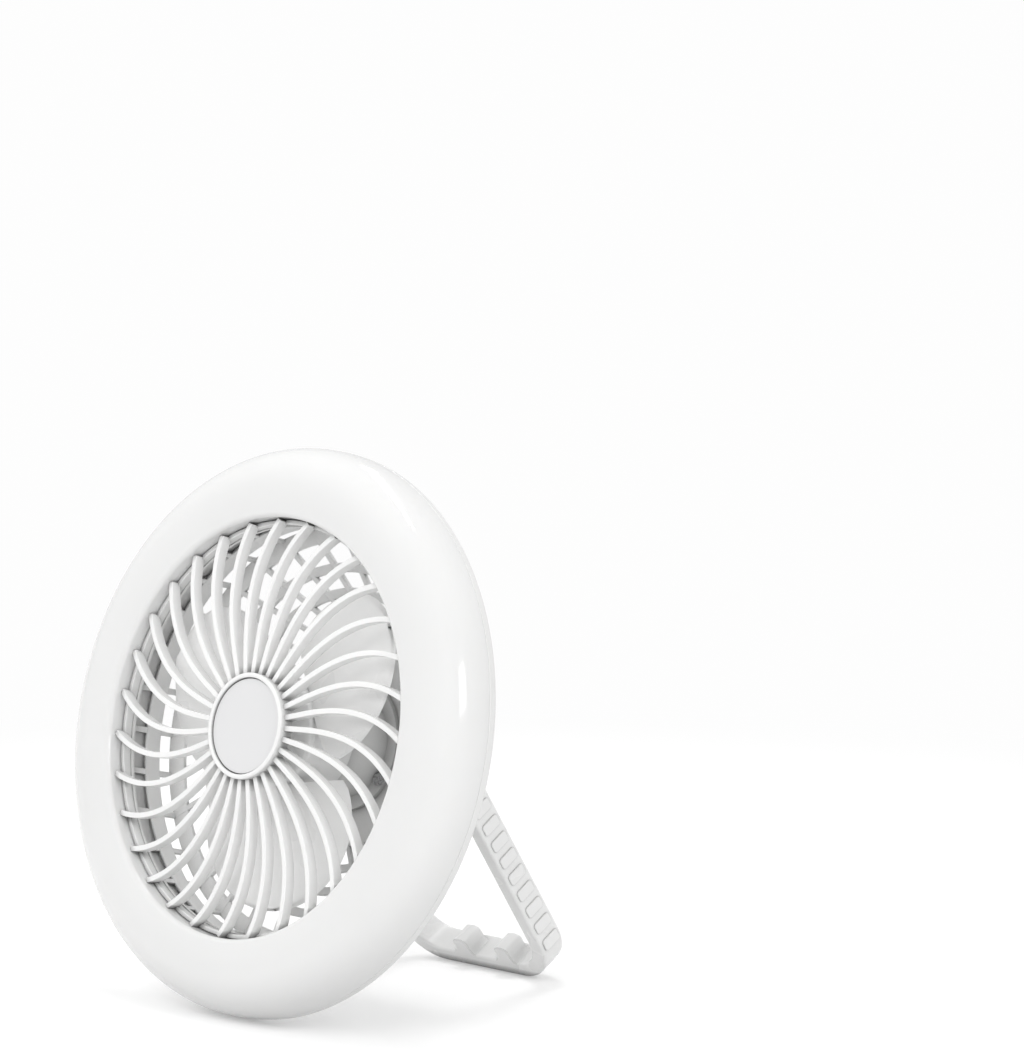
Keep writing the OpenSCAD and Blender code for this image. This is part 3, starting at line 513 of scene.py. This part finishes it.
def coverOutline(into, lipSteps=10, faceSteps=8, roundSteps=34):
    # the inner wall, the rounded lip, the nearly flat face and the outer rounding
    r = ring
    made = [(openR + into, -r["lipDepth"])]
    for i in range(lipSteps + 1):
        a = math.pi / 2 * i / lipSteps
        made.append((openR + r["lipR"] - (r["lipR"] - into) * math.cos(a),
                     r["lipHigh"] - r["lipR"] + (r["lipR"] - into) * math.sin(a)))
    start = openR + r["lipR"]
    for i in range(1, faceSteps):
        f = i / faceSteps
        made.append((start + f * (r["crestR"] - start),
                     r["lipHigh"] + (r["crestH"] - r["lipHigh"]) * math.sin(math.pi / 2 * f) - into))
    wide, high, power = ringR - r["crestR"] - into, r["crestH"] + roundDepth - into, 2 / r["power"]
    for i in range(roundSteps + 1):
        a = math.pi / 2 * i / roundSteps
        made.append((r["crestR"] + wide * math.sin(a) ** power,
                     -roundDepth + high * max(0, math.cos(a)) ** power))
    return made


def ringPost(r, top, at):
    # a hollow screw post on the housing's floor
    bore, foot = ring["boreR"], ring["postFoot"]
    return moved(revolve([(bore, -foot), (r, -foot), (r, -top), (bore, -top)], 24),
                 Matrix.Translation((at, 0, 0)))


def makeRing():
    outer, inner = coverOutline(0), coverOutline(ring["wall"])
    profile = outer + inner[::-1]
    profile = roundCorners(profile, {0: 0.3, len(outer) - 1: 0.35, len(outer): 0.2}, 4)
    addPiece("ringLightCover", [local(revolve(profile, 256))], fanPlace, "fan", "light_ring_cover",
             lightCover)
    tongueR = ringR - ring["wall"] - 0.3
    floorZ = -ring["back"] + ring["housingWall"]
    inR = ring["ductR"] + ring["housingWall"]
    profile = [(ringR, -roundDepth), (ring["footR"], -ring["footDepth"]),
               (ring["footR"] - ring["chamfer"], -ring["back"]), (ring["ductR"], -ring["back"]),
               (ring["ductR"], -ring["flangeBack"]), (inR, -ring["flangeBack"]), (inR, floorZ),
               (tongueR - 3, floorZ), (tongueR - 2, floorZ + 1), (tongueR - 2, -roundDepth + 2.5),
               (tongueR, -roundDepth + 2.5), (tongueR, -roundDepth)]
    profile = roundCorners(profile, {0: 0.35, 1: 1.6, 2: 1.6, 3: 0.6, 4: 0.3, 5: 0.3}, 5)
    shell = local(revolve(profile, 256))
    low, high = ring["lampPostAt"] - ring["ribWide"] / 2, ring["lampPostAt"] + ring["ribWide"] / 2
    foot, top = -ring["postFoot"], -ring["ribTop"]
    seat = local(revolve([(low, foot), (high, foot), (high, top), (low, top)]))
    lampPosts = repeated(ringPost(ring["lampPostR"], ring["lampPostTop"], ring["lampPostAt"]), 4, 90, 45)
    rimPosts = repeated(ringPost(ring["rimPostR"], ring["rimPostTop"], ring["rimPostAt"]), 6, 60, 15)
    addPiece("ringLightHousing", [shell, seat, lampPosts, rimPosts], fanPlace, "fan", "light_ring_housing",
             whiteSmooth)


makeRing()
print("ring light made")


# ---- grille ----
grille = {"ribCount": 31, "ribWidth": 2.1, "ribHeight": 4.4, "ribLean": 14, "ribBendR": 27, "ribPhase": 4.3,
          "ribRimDepth": 1.4, "ribHubHeight": 2.8, "ribRounding": 0.3, "frameR": 80.7, "frameDepth": 4.6,
          "rimR": 20.5, "rimHeight": 4.9, "rimWall": 1.9, "rimBack": 1.6, "badgeBack": 2.6,
          "badgeThick": 1.2, "bandR": 78.9, "footR": 78.5, "footDepth": 8.2, "flangeR": 85.6,
          "flangeFront": 7, "flangeBack": 9.6}


def ribTree():
    # one curved rib from the hub to the frame; it leans clockwise more and more, and the tree repeats it
    tree = bpy.data.node_groups.new("curvedRibs", "GeometryNodeTree")
    face, nodes, links = tree.interface, tree.nodes, tree.links
    sockets = {}
    sizes = ("Root radius", "Bend radius", "Frame radius", "End radius", "Lean", "Start turn",
             "Root height", "End height", "Width", "Height", "Rounding")
    for label, kind in (("Base", "Geometry"), ("Count", "Int"), *((size, "Float") for size in sizes),
                        ("Finish", "Material")):
        sockets[label] = face.new_socket(label, in_out="INPUT", socket_type="NodeSocket" + kind).identifier
    face.new_socket("Geometry", in_out="OUTPUT", socket_type="NodeSocketGeometry")
    given, out = nodes.new("NodeGroupInput"), nodes.new("NodeGroupOutput")

    def maths(kind, a, b=None, c=None):
        node = nodes.new("ShaderNodeMath")
        node.operation = kind
        for socket, value in zip(node.inputs, (a, b, c)):
            if value is None:
                continue
            if isinstance(value, (int, float)):
                socket.default_value = value
            else:
                links.new(value, socket)
        return node.outputs[0]
    inputs = given.outputs
    path = nodes.new("GeometryNodeCurvePrimitiveLine")
    ends = []
    for label in ("Root", "End"):
        point = nodes.new("ShaderNodeCombineXYZ")
        links.new(inputs[label + " radius"], point.inputs["X"])
        links.new(inputs[label + " height"], point.inputs["Z"])
        ends.append(point.outputs[0])
    links.new(ends[0], path.inputs["Start"])
    links.new(ends[1], path.inputs["End"])
    fine = nodes.new("GeometryNodeResampleCurve")
    fine.inputs["Count"].default_value = 25
    links.new(path.outputs[0], fine.inputs["Curve"])
    here, split = nodes.new("GeometryNodeInputPosition"), nodes.new("ShaderNodeSeparateXYZ")
    links.new(here.outputs[0], split.inputs[0])
    r = split.outputs["X"]
    past = maths("MAXIMUM", maths("SUBTRACT", r, inputs["Bend radius"]), 0)
    share = maths("DIVIDE", past, maths("SUBTRACT", inputs["Frame radius"], inputs["Bend radius"]))
    turn = maths("MULTIPLY", maths("MULTIPLY", share, share), maths("MULTIPLY", inputs["Lean"], -1))
    bent = nodes.new("ShaderNodeCombineXYZ")
    links.new(maths("MULTIPLY", r, maths("COSINE", turn)), bent.inputs["X"])
    links.new(maths("MULTIPLY", r, maths("SINE", turn)), bent.inputs["Y"])
    links.new(split.outputs["Z"], bent.inputs["Z"])
    bend = nodes.new("GeometryNodeSetPosition")
    links.new(fine.outputs[0], bend.inputs["Geometry"])
    links.new(bent.outputs[0], bend.inputs["Position"])
    upright = nodes.new("GeometryNodeSetCurveNormal")
    upright.mode = "Z_UP"
    links.new(bend.outputs[0], upright.inputs["Curve"])
    section = nodes.new("GeometryNodeCurvePrimitiveQuadrilateral")
    rounded = nodes.new("GeometryNodeFilletCurve")
    links.new(inputs["Width"], section.inputs["Width"])
    links.new(inputs["Height"], section.inputs["Height"])
    rounded.mode = "POLY"
    rounded.inputs["Count"].default_value = 4
    links.new(section.outputs[0], rounded.inputs["Curve"])
    links.new(inputs["Rounding"], rounded.inputs["Radius"])
    swept = nodes.new("GeometryNodeCurveToMesh")
    swept.inputs["Fill Caps"].default_value = True
    links.new(upright.outputs[0], swept.inputs["Curve"])
    links.new(rounded.outputs[0], swept.inputs["Profile Curve"])
    row, number, angles = (nodes.new("GeometryNodeMeshLine"), nodes.new("GeometryNodeInputIndex"),
                           nodes.new("ShaderNodeCombineXYZ"))
    links.new(inputs["Count"], row.inputs["Count"])
    row.inputs["Offset"].default_value = (0, 0, 0)
    each = maths("DIVIDE", math.tau, inputs["Count"])
    links.new(maths("MULTIPLY_ADD", number.outputs[0], each, inputs["Start turn"]), angles.inputs["Z"])
    rotation, copies = nodes.new("FunctionNodeEulerToRotation"), nodes.new("GeometryNodeInstanceOnPoints")
    links.new(angles.outputs[0], rotation.inputs[0])
    links.new(row.outputs["Mesh"], copies.inputs["Points"])
    links.new(swept.outputs[0], copies.inputs["Instance"])
    links.new(rotation.outputs[0], copies.inputs["Rotation"])
    real, finish = nodes.new("GeometryNodeRealizeInstances"), nodes.new("GeometryNodeSetMaterial")
    links.new(copies.outputs[0], real.inputs[0])
    links.new(real.outputs[0], finish.inputs["Geometry"])
    links.new(inputs["Finish"], finish.inputs["Material"])
    links.new(finish.outputs[0], out.inputs[0])
    return tree, sockets


def makeGrille():
    g = grille
    tree, sockets = ribTree()
    inR = g["rimR"] - g["rimWall"]
    rootR, endR = inR + 0.6, g["frameR"] - 0.3
    slope = (g["ribHubHeight"] + g["ribRimDepth"]) / (endR - (inR + 0.2))
    high = g["ribHubHeight"] - (rootR - (inR + 0.2)) * slope - g["ribHeight"] / 2
    low = -g["ribRimDepth"] - g["ribHeight"] / 2
    lengths = {"Root radius": rootR, "Bend radius": g["ribBendR"], "Frame radius": g["frameR"],
               "End radius": endR, "Root height": high, "End height": low, "Width": g["ribWidth"],
               "Height": g["ribHeight"], "Rounding": g["ribRounding"]}
    values = {label: size / 1000 for label, size in lengths.items()}
    values.update({"Count": g["ribCount"], "Lean": math.radians(g["ribLean"]),
                   "Start turn": math.radians(g["ribPhase"]), "Finish": grilleWhite})
    ribs = runTree(bpy.data.meshes.new("base"), tree, sockets, values)
    ribs.shade_smooth()
    ribs.set_sharp_from_angle(angle=math.radians(50))
    hub = [(0, g["badgeBack"]), (inR, g["badgeBack"]), (inR, g["rimHeight"]), (g["rimR"], g["rimHeight"]),
           (g["rimR"], -g["rimBack"]), (inR, -g["rimBack"]), (inR, 0.8), (0, 0.8)]
    hub = roundCorners(hub, {2: 0.7, 3: 0.85, 4: 0.3, 5: 0.3}, 5)
    front, back = -g["flangeFront"], -g["flangeBack"]
    band = [(g["frameR"], -g["frameDepth"]), (g["frameR"], front), (g["flangeR"], front),
            (g["flangeR"], back), (g["footR"], back), (g["footR"], -g["footDepth"]),
            (g["bandR"], -g["footDepth"]), (g["bandR"], -g["frameDepth"])]
    band = roundCorners(band, {0: 0.3, 5: 0.15, 4: 0.3, 7: 0.3}, 4)
    addPiece("frontGrille", [ribs, local(revolve(hub, 128)), local(revolve(band, 256))], fanPlace, "fan",
             "front_grille", grilleWhite)
    top = g["badgeBack"] + g["badgeThick"]
    badge = [(0, g["badgeBack"]), (inR - 0.3, g["badgeBack"]), (inR - 0.3, top), (0, top)]
    badge = roundCorners(badge, {2: 0.35}, 4)
    addPiece("hubBadge", [local(revolve(badge, 96))], fanPlace, "fan", "hub_badge", badgeGrey)


makeGrille()
print("grille made")


# ---- rear guard ----
guard = {"spokeCount": 31, "spokeWidth": 2.2, "turn": 24, "cornerDepth": 33.4, "slope": 0.52, "thick": 2.4,
         "wallOut": 82.6, "wallIn": 81, "plateR": 40, "bandWidth": 3.6, "bandCount": 3, "cornerWidth": 6,
         "flangeR": 93, "flangeFrom": 23.4, "flangeTo": 25.6, "postWidth": 2.4, "postFrom": 11.2,
         "rimFrom": 10.6, "rimTo": 12.2, "bandDepth": 18, "bandTo": 24.4, "plateHoleR": 9,
         "plateFrom": 53.15, "plateTo": 55.55}


def makeGuard():
    g = guard

    def front(r):
        return -g["cornerDepth"] + g["thick"] - (g["wallOut"] - r) * g["slope"]
    start = Vector((g["wallOut"] - 1, 0))
    turn = math.radians(-g["turn"])
    end = Vector(((g["plateR"] - 1) * math.cos(turn), (g["plateR"] - 1) * math.sin(turn)))
    along = (end - start).normalized()
    side = Vector((-along.y, along.x))
    half, edge = g["spokeWidth"] / 2, 0.5
    section = boxLoop(-half, half, -g["thick"], 0, edge, 3)
    points, faces, steps = [], [], 14
    for k in range(steps + 1):
        c = start.lerp(end, k / steps)
        for x, z in section:
            p = c + side * x
            points.append((p.x, p.y, front(c.length) + z))
    n = len(section)
    for k in range(steps):
        for j in range(n):
            a, b = k * n + j, k * n + (j + 1) % n
            faces.append([a, b, b + n, a + n])
    faces += [list(range(n)), list(range(steps * n, (steps + 1) * n))]
    spokes = repeated((points, faces), g["spokeCount"], 360 / g["spokeCount"], 0, material=guardWhite)
    wide = g["postWidth"] / 2
    post = boxLoop(g["wallIn"] + 0.2, g["wallOut"] - 0.2, -wide, wide, 0.3, 3)
    post = slab(post, -g["cornerDepth"] + 0.5, -g["postFrom"], 0.2)
    posts = repeated(post, g["spokeCount"], 360 / g["spokeCount"], 0, material=guardWhite)
    rings, wide = [], g["bandWidth"] / 2
    gapStep = (g["wallOut"] - g["cornerWidth"] - g["plateR"]) / (g["bandCount"] + 1)
    middles = [g["plateR"] + i * gapStep for i in range(1, g["bandCount"] + 1)]
    spans = [(r - wide, r + wide) for r in middles]
    for low, high in spans + [(g["wallOut"] - g["cornerWidth"], g["wallOut"])]:
        trim = 0.12
        band = [(low, front(low) - trim), (high, front(high) - trim), (high, front(high) - g["thick"] + trim),
                (low, front(low) - g["thick"] + trim)]
        rings.append(local(revolve(roundCorners(band, 0.6, 3), 192)))
    for out, into, near, far, soft in ((g["wallOut"], g["wallIn"], g["rimFrom"], g["rimTo"], 0.4),
                                       (g["wallOut"], g["wallIn"], g["bandDepth"], g["bandTo"], 0.6),
                                       (g["flangeR"], g["wallIn"], g["flangeFrom"], g["flangeTo"], 0.5),
                                       (g["plateR"], g["plateHoleR"], g["plateFrom"], g["plateTo"], 0.4)):
        band = roundCorners([(out, -near), (out, -far), (into, -far), (into, -near)], soft, 3)
        rings.append(local(revolve(band, 192)))
    addPiece("rearGuard", [spokes, posts] + rings, fanPlace, "fan", "rear_guard", guardWhite)


makeGuard()
print("rear guard made")


# ---- impeller ----
impeller = {"count": 3, "tipR": 69, "width": 67, "pitch": 11, "thick": 1.8, "phase": 42, "set": 4,
            "hubR": 21.5, "front": 11, "length": 22.4, "hubWall": 1.5, "camber": 1.3, "edge": 0.7,
            "floor": 1.8, "boreR": 1.53, "boreFloor": 0.5}


def makeImpeller():
    m = impeller
    front, back, inR = -m["front"], -m["front"] - m["length"], m["hubR"] - m["hubWall"]
    floor, end = front - m["floor"], front - m["boreFloor"]
    cup = [(0, front), (m["hubR"], front), (m["hubR"], back), (inR, back), (inR, floor), (m["boreR"], floor),
           (m["boreR"], end), (0, end)]
    cup = roundCorners(cup, {1: 2.2, 2: 0.3, 3: 0.3}, 6)
    # a grid over each face of the petal, from its root to its tip, that narrows with the outline
    rows, columns = 26, 30
    petalR, rootX, half = m["width"] / 2, m["hubR"] - 1, m["thick"] / 2
    centreX, endX = m["tipR"] - m["width"] / 2, m["tipR"] - m["edge"]
    pitch = math.tan(math.radians(m["pitch"]))
    points, faces, grids = [], [], []
    for side in (1, -1):
        grid = []
        for i in range(rows + 1):
            x = rootX + (endX - rootX) * min(1, math.sin(i / rows * math.pi / 2) ** 0.9)
            wide = math.sqrt(max(0, (petalR - m["edge"]) ** 2 - (x - centreX) ** 2))
            line = []
            for j in range(columns + 1):
                across = -1 + 2 * j / columns
                rise = m["camber"] * (1 - across * across) - pitch * across * wide
                thick = half * (0.55 + 0.45 * min(1, 6 * (1 - abs(across))))
                line.append(len(points))
                points.append((x, across * wide, -(m["front"] + m["set"]) + rise + side * thick))
            grid.append(line)
        grids.append(grid)
        for i in range(rows):
            for j in range(columns):
                faces.append([grid[i][j], grid[i + 1][j], grid[i + 1][j + 1], grid[i][j + 1]])

    def border(grid):
        return (grid[0] + [line[-1] for line in grid[1:]] + grid[rows][-2::-1]
                + [line[0] for line in grid[rows - 1:0:-1]])
    upper, lower, middle = border(grids[0]), border(grids[1]), []
    for a, b in zip(upper, lower):
        c = (Vector(points[a]) + Vector(points[b])) / 2
        out = Vector((c.x - centreX, c.y, 0))
        middle.append(len(points))
        points.append(tuple(c + out.normalized() * (m["edge"] if c.x > rootX + 0.5 else 0)))
    for line, other in ((upper, middle), (middle, lower)):
        for k in range(len(line)):
            n = (k + 1) % len(line)
            faces.append([line[k], line[n], other[n], other[k]])
    blades = repeated((points, faces), m["count"], 360 / m["count"], m["phase"], material=bladeWhite,
                      sharp=60)
    addPiece("impellerBlades", [local(revolve(cup, 128)), blades], fanPlace, "impeller", "impeller",
             bladeWhite)


makeImpeller()
print("impeller made")


# ---- handle ----
handle = {"width": 85, "thick": 6.6, "deep": 12.2, "long": 110, "cornerR": 20.5, "endR": 8, "edge": 1.1,
          "fingerPitch": 23.6, "fingerOffset": 3.8, "fingerDeep": 9.8, "padCount": 10, "padPitch": 8.5,
          "firstPad": 15.2, "padLong": 5, "padWide": 8.8, "padHigh": 0.45, "pocketAt": 80, "pocketWide": 2.4,
          "pocketDeep": 1.2}


def makeHandle():
    h = handle
    half, deep, edge = h["width"] / 2, h["deep"] / 2, h["edge"]
    steps = 5
    arc = [(edge * (1 - math.sin(a)), edge * (1 - math.cos(a)))
           for a in (k * math.pi / 2 / steps for k in range(steps + 1))]
    inner = [(half - h["thick"] + down, into) for into, down in arc]
    outer = [(half - down, into) for into, down in reversed(arc)]
    # an arm seen from the side: straight flanks that swell into a round end at the pivot
    joinY, endR = -h["long"] + h["cornerR"], h["endR"]
    neck = -math.sqrt(endR ** 2 - deep ** 2)
    blendFrom, blendTo = neck - 4.2, neck + 1.2
    blendHigh = math.sqrt(endR ** 2 - blendTo ** 2)
    flank = [(joinY, -deep)]
    for k in range(7):
        f = k / 6
        flank.append((blendFrom + (blendTo - blendFrom) * f, -deep - (blendHigh - deep) * f * f))
    first = math.atan2(-blendHigh, blendTo)
    tip = [(endR * math.cos(a), endR * math.sin(a)) for a in (first * (1 - k / 18) for k in range(1, 36))]
    outline = flank + tip + [(y, -z) for y, z in flank[::-1]]
    w, at = h["pocketWide"] / 2, -h["pocketAt"]
    pocket = [(at - w, -w), (at + w, -w), (at + w, w), (at - w, w)]
    points, faces = [], []
    for side in (-1, 1):
        grid = []
        for x, into in inner + outer:
            # two points past the joint keep the arm's open end square
            line = inset([(joinY - 50, -deep)] + outline + [(joinY - 50, deep)], into)[1:-1]
            grid.append(list(range(len(points), len(points) + len(line))))
            points += [(side * x, p.x, p.y) for p in line]
        for low, high in zip(grid, grid[1:]):
            for k in range(len(low) - 1):
                faces.append([low[k], low[k + 1], high[k + 1], high[k]])
        for line, holes in ((grid[0], [pocket] if side == 1 else []), (grid[-1], [])):
            loop, base = [(points[v][1], points[v][2]) for v in line], list(line)
            if holes:
                x = points[line[0]][0]
                mouth = list(range(len(points), len(points) + 4))
                points += [(x + down, y, z) for down in (0, h["pocketDeep"]) for y, z in pocket]
                floor = [v + 4 for v in mouth]
                base += mouth
                faces.append(floor)
                faces += [[mouth[k], mouth[(k + 1) % 4], floor[(k + 1) % 4], floor[k]] for k in range(4)]
            faces += [[base[v] for v in f] for f in fillFlat(loop, holes)]
    # the bar and its corners: the arms' own section, carried round
    section = [(x - half, -deep + into) for x, into in inner + outer]
    section += [(x - half, deep - into) for x, into in reversed(inner + outer)]
    bends = [(math.cos(a), math.sin(a)) for a in (math.pi / 2 * k / 24 for k in range(25))]
    left = [(-half + h["cornerR"] * (1 - c), joinY - h["cornerR"] * s, -c, -s) for c, s in bends]
    rings = []
    for x, y, outX, outY in left + [(-x, y, -outX, outY) for x, y, outX, outY in reversed(left)]:
        rings.append(list(range(len(points), len(points) + len(section))))
        points += [(x + outX * s, y + outY * s, z) for s, z in section]
    for low, high in zip(rings, rings[1:]):
        for k in range(len(low)):
            n = (k + 1) % len(low)
            faces.append([low[k], low[n], high[n], high[k]])
    frameMesh = newMesh("handleFrame", points, faces, Matrix.Identity(4), 40)
    # hook fingers, drawn from the front as a nose that leans to one side
    nose = [(-7.6, -3.2), (-7.6, -1.0), (-6.0, -0.15), (-4.7, 0.75), (-3.9, 2.3), (-3.6, 3.8),
            (-4.0, 4.9), (-3.7, 5.9), (-2.2, 6.75), (0.6, 7.0), (2.9, 6.4), (3.85, 5.0), (3.95, 3.2),
            (4.3, 1.5), (5.4, 0.3), (7.4, -1.0), (7.6, -3.2), (0, -3.6)]
    loop = smoothLoop(nose, 5)
    finger = slab(loop, deep - h["fingerDeep"], deep - 0.02, 0.5, steps=4)
    firstX = h["fingerOffset"] - h["fingerPitch"] / 2
    finger = moved(finger, Matrix.Translation((firstX, -h["long"] + h["thick"], 0)))
    fingers = repeated(finger, 2, step=(h["fingerPitch"], 0, 0), material=handleWhite, sharp=60)
    padLoop = boxLoop(-h["padLong"] / 2, h["padLong"] / 2, -h["padWide"] / 2, h["padWide"] / 2, 1.3, 5)
    pads = []
    for side in (-1, 1):
        pad = slab(padLoop, half - 0.6, half + h["padHigh"], 0.2, steps=3, axes=(2, 0, 1))
        pad = ([(side * x, y - h["firstPad"], z) for x, y, z in pad[0]], pad[1])
        pads.append(repeated(pad, h["padCount"], step=(0, -h["padPitch"], 0), material=handleWhite))
    addPiece("foldingHandle", [frameMesh, fingers] + pads, handlePlace, "handle", "handle", handleWhite)


makeHandle()


cap = {"r": 7.2, "high": 1.4, "dome": 0.5, "plugR": 5.27, "plugDepth": 0.9, "side": 0.35}


def makeCaps():
    c, half = cap, handle["width"] / 2
    profile = [(0, -c["plugDepth"]), (c["plugR"], -c["plugDepth"]), (c["plugR"], 0), (c["r"], 0)]
    flatR, rise = c["r"] - 1, c["high"] - c["dome"] - c["side"]
    for k in range(9):
        a = math.pi / 2 * k / 8
        profile.append((flatR + math.cos(a), c["side"] + rise * math.sin(a)))
    for k in range(1, 9):
        f = k / 8
        profile.append((flatR * (1 - f), c["high"] - c["dome"] * (1 - f) ** 2))
    disc = revolve(profile, 72)
    mark = [(0.0, 5.3), (-0.9, 3.9), (0.9, 3.9)]
    low, high = c["high"] - c["dome"] * 0.7 - 0.5, c["high"] - c["dome"] * 0.5 + 0.1
    arrow = slab(roundCorners(mark, 0.25, 3), low, high, 0.08, steps=2)
    meshes = []
    for side in (-1, 1):
        turn = Matrix.Rotation(math.radians(90 * side), 4, "Y") @ Matrix.Translation((0, 0, half))
        meshes.append(local(moved(joined(disc, arrow), turn)))
    addPiece("pivotCaps", meshes, handlePlace, "handle", "pivot_caps", handleWhite)


makeCaps()
print("handle and caps made")


# ---- floor, light and camera ----
stage = {"albedo": 0.68, "bounce": 0.74, "fill": 0.335, "far": 0.985, "near": 0.35, "fadeOver": 0.35,
         "world": 0.72, "front": 7.6, "key": 5, "side": 6.6, "top": 6, "streak": 9, "right": 6}


def makeStage():
    made = bpy.data.materials.new("paleFloor")
    made.use_nodes = True
    nodes, links = made.node_tree.nodes, made.node_tree.links
    shader = nodes["Principled BSDF"]
    shader.inputs["Base Color"].default_value = (*(stage["albedo"],) * 3, 1)
    shader.inputs["Roughness"].default_value = 1
    shader.inputs["Specular IOR Level"].default_value = 0
    out = nodes["Material Output"]
    seen = nodes.new("ShaderNodeLightPath")
    either = nodes.new("ShaderNodeMath")
    either.operation = "MAXIMUM"
    links.new(seen.outputs["Is Camera Ray"], either.inputs[0])
    links.new(seen.outputs["Is Glossy Ray"], either.inputs[1])
    # far from the fan the floor is plain white; round it the floor keeps the fan's shadow
    where, reach, fade = (nodes.new("ShaderNodeTexCoord"), nodes.new("ShaderNodeVectorMath"),
                          nodes.new("ShaderNodeMapRange"))
    reach.operation = "LENGTH"
    links.new(where.outputs["Object"], reach.inputs[0])
    links.new(reach.outputs["Value"], fade.inputs["Value"])
    fade.interpolation_type = "SMOOTHSTEP"
    fade.inputs["From Min"].default_value = stage["near"]
    fade.inputs["From Max"].default_value = stage["near"] + stage["fadeOver"]
    away, blend = nodes.new("ShaderNodeEmission"), nodes.new("ShaderNodeMixShader")
    away.inputs["Strength"].default_value = stage["far"]
    glow, add = nodes.new("ShaderNodeEmission"), nodes.new("ShaderNodeAddShader")
    pick = nodes.new("ShaderNodeMixShader")
    glow.inputs["Strength"].default_value = stage["fill"]
    links.new(shader.outputs[0], add.inputs[0])
    links.new(glow.outputs[0], add.inputs[1])
    links.new(either.outputs[0], pick.inputs["Fac"])
    links.new(fade.outputs["Result"], blend.inputs["Fac"])
    links.new(add.outputs[0], blend.inputs[1])
    links.new(away.outputs[0], blend.inputs[2])
    # what the floor throws back at the fan is less than what it shows
    back = nodes.new("ShaderNodeBsdfDiffuse")
    back.inputs["Color"].default_value = (*(stage["bounce"],) * 3, 1)
    links.new(back.outputs[0], pick.inputs[1])
    links.new(blend.outputs[0], pick.inputs[2])
    links.new(pick.outputs[0], out.inputs["Surface"])
    mesh = bpy.data.meshes.new("floor")
    size = 60
    mesh.from_pydata([(x * size, y * size, 0) for x, y in ((-1, -1), (1, -1), (1, 1), (-1, 1))], [],
                     [(0, 1, 2, 3)])
    mesh.materials.append(made)
    floor = bpy.data.objects.new("floor", mesh)
    bpy.context.scene.collection.objects.link(floor)

    world = bpy.data.worlds.new("studio")
    bpy.context.scene.world = world
    world.use_nodes = True
    nodes, links = world.node_tree.nodes, world.node_tree.links
    soft, white = nodes["Background"], nodes.new("ShaderNodeBackground")
    soft.inputs["Color"].default_value = (1, 1, 1, 1)
    soft.inputs["Strength"].default_value = stage["world"]
    white.inputs["Strength"].default_value = stage["far"]
    seen, pick = nodes.new("ShaderNodeLightPath"), nodes.new("ShaderNodeMixShader")
    links.new(seen.outputs["Is Camera Ray"], pick.inputs["Fac"])
    links.new(soft.outputs[0], pick.inputs[1])
    links.new(white.outputs[0], pick.inputs[2])
    links.new(pick.outputs[0], nodes["World Output"].inputs["Surface"])


def lamp(name, power, size, at, lights=True, mirrored=True, along=(0, 0, 1), long=0):
    # a lamp either lights the fan, or is mirrored in it, or both; a long one stretches along a direction
    light = bpy.data.lights.new(name, "AREA")
    light.energy, light.size = power, size
    lampObject = bpy.data.objects.new(name, light)
    lampObject.location = at
    if long:
        light.shape, light.size_y = "RECTANGLE", long
    back = (Vector(at) - Vector((0, -0.02, 0.1))).normalized()
    side = Vector(along).cross(back).normalized()
    lampObject.rotation_euler = Matrix((side, back.cross(side), back)).transposed().to_euler()
    lampObject.visible_diffuse, lampObject.visible_glossy = lights, mirrored
    bpy.context.scene.collection.objects.link(lampObject)


makeStage()
lamp("frontSoftbox", stage["front"], 1.0, (0.9, -1.7, 1.15), mirrored=False)
lamp("keySoftbox", stage["key"], 0.9, (0.35, -1.3, 1.5), mirrored=False)
lamp("sideSoftbox", stage["side"], 0.9, (-1.5, -0.6, 0.7), mirrored=False)
lamp("topSoftbox", stage["top"], 0.5, (-0.4, 0.4, 1.6), mirrored=False)
lamp("streakLight", stage["streak"], 0.12, (-0.4, 0.4, 1.6), lights=False, along=(-0.65, 0.76, 0),
     long=1.5)
lamp("rightSoftbox", stage["right"], 0.5, (1.6, -0.3, 0.95))

view = {"azimuth": 45.778, "elevation": 7.003, "distance": 2000, "focal": 5243.79, "right": -98.764,
        "up": -85.662}


def makeCamera():
    az, el = math.radians(view["azimuth"]), math.radians(view["elevation"])
    back = Vector((math.sin(az) * math.cos(el), -math.cos(az) * math.cos(el), math.sin(el)))
    right = Vector((math.cos(az), math.sin(az), 0))
    up = back.cross(right)
    eye = Vector((0, place["centreY"], 100)) - right * view["right"] - up * view["up"]
    eye += back * view["distance"]
    data = bpy.data.cameras.new("camera")
    data.sensor_width, data.lens = 36, view["focal"] / 1064 * 36
    data.clip_start, data.clip_end = 0.05, 30
    camera = bpy.data.objects.new("camera", data)
    turn = Matrix((right, up, back)).transposed().to_4x4()
    camera.matrix_world = Matrix.Translation(eye / 1000) @ turn
    bpy.context.scene.collection.objects.link(camera)
    bpy.context.scene.camera = camera


makeCamera()
bpy.context.scene.view_settings.view_transform = "Standard"
print("floor, light and camera made")
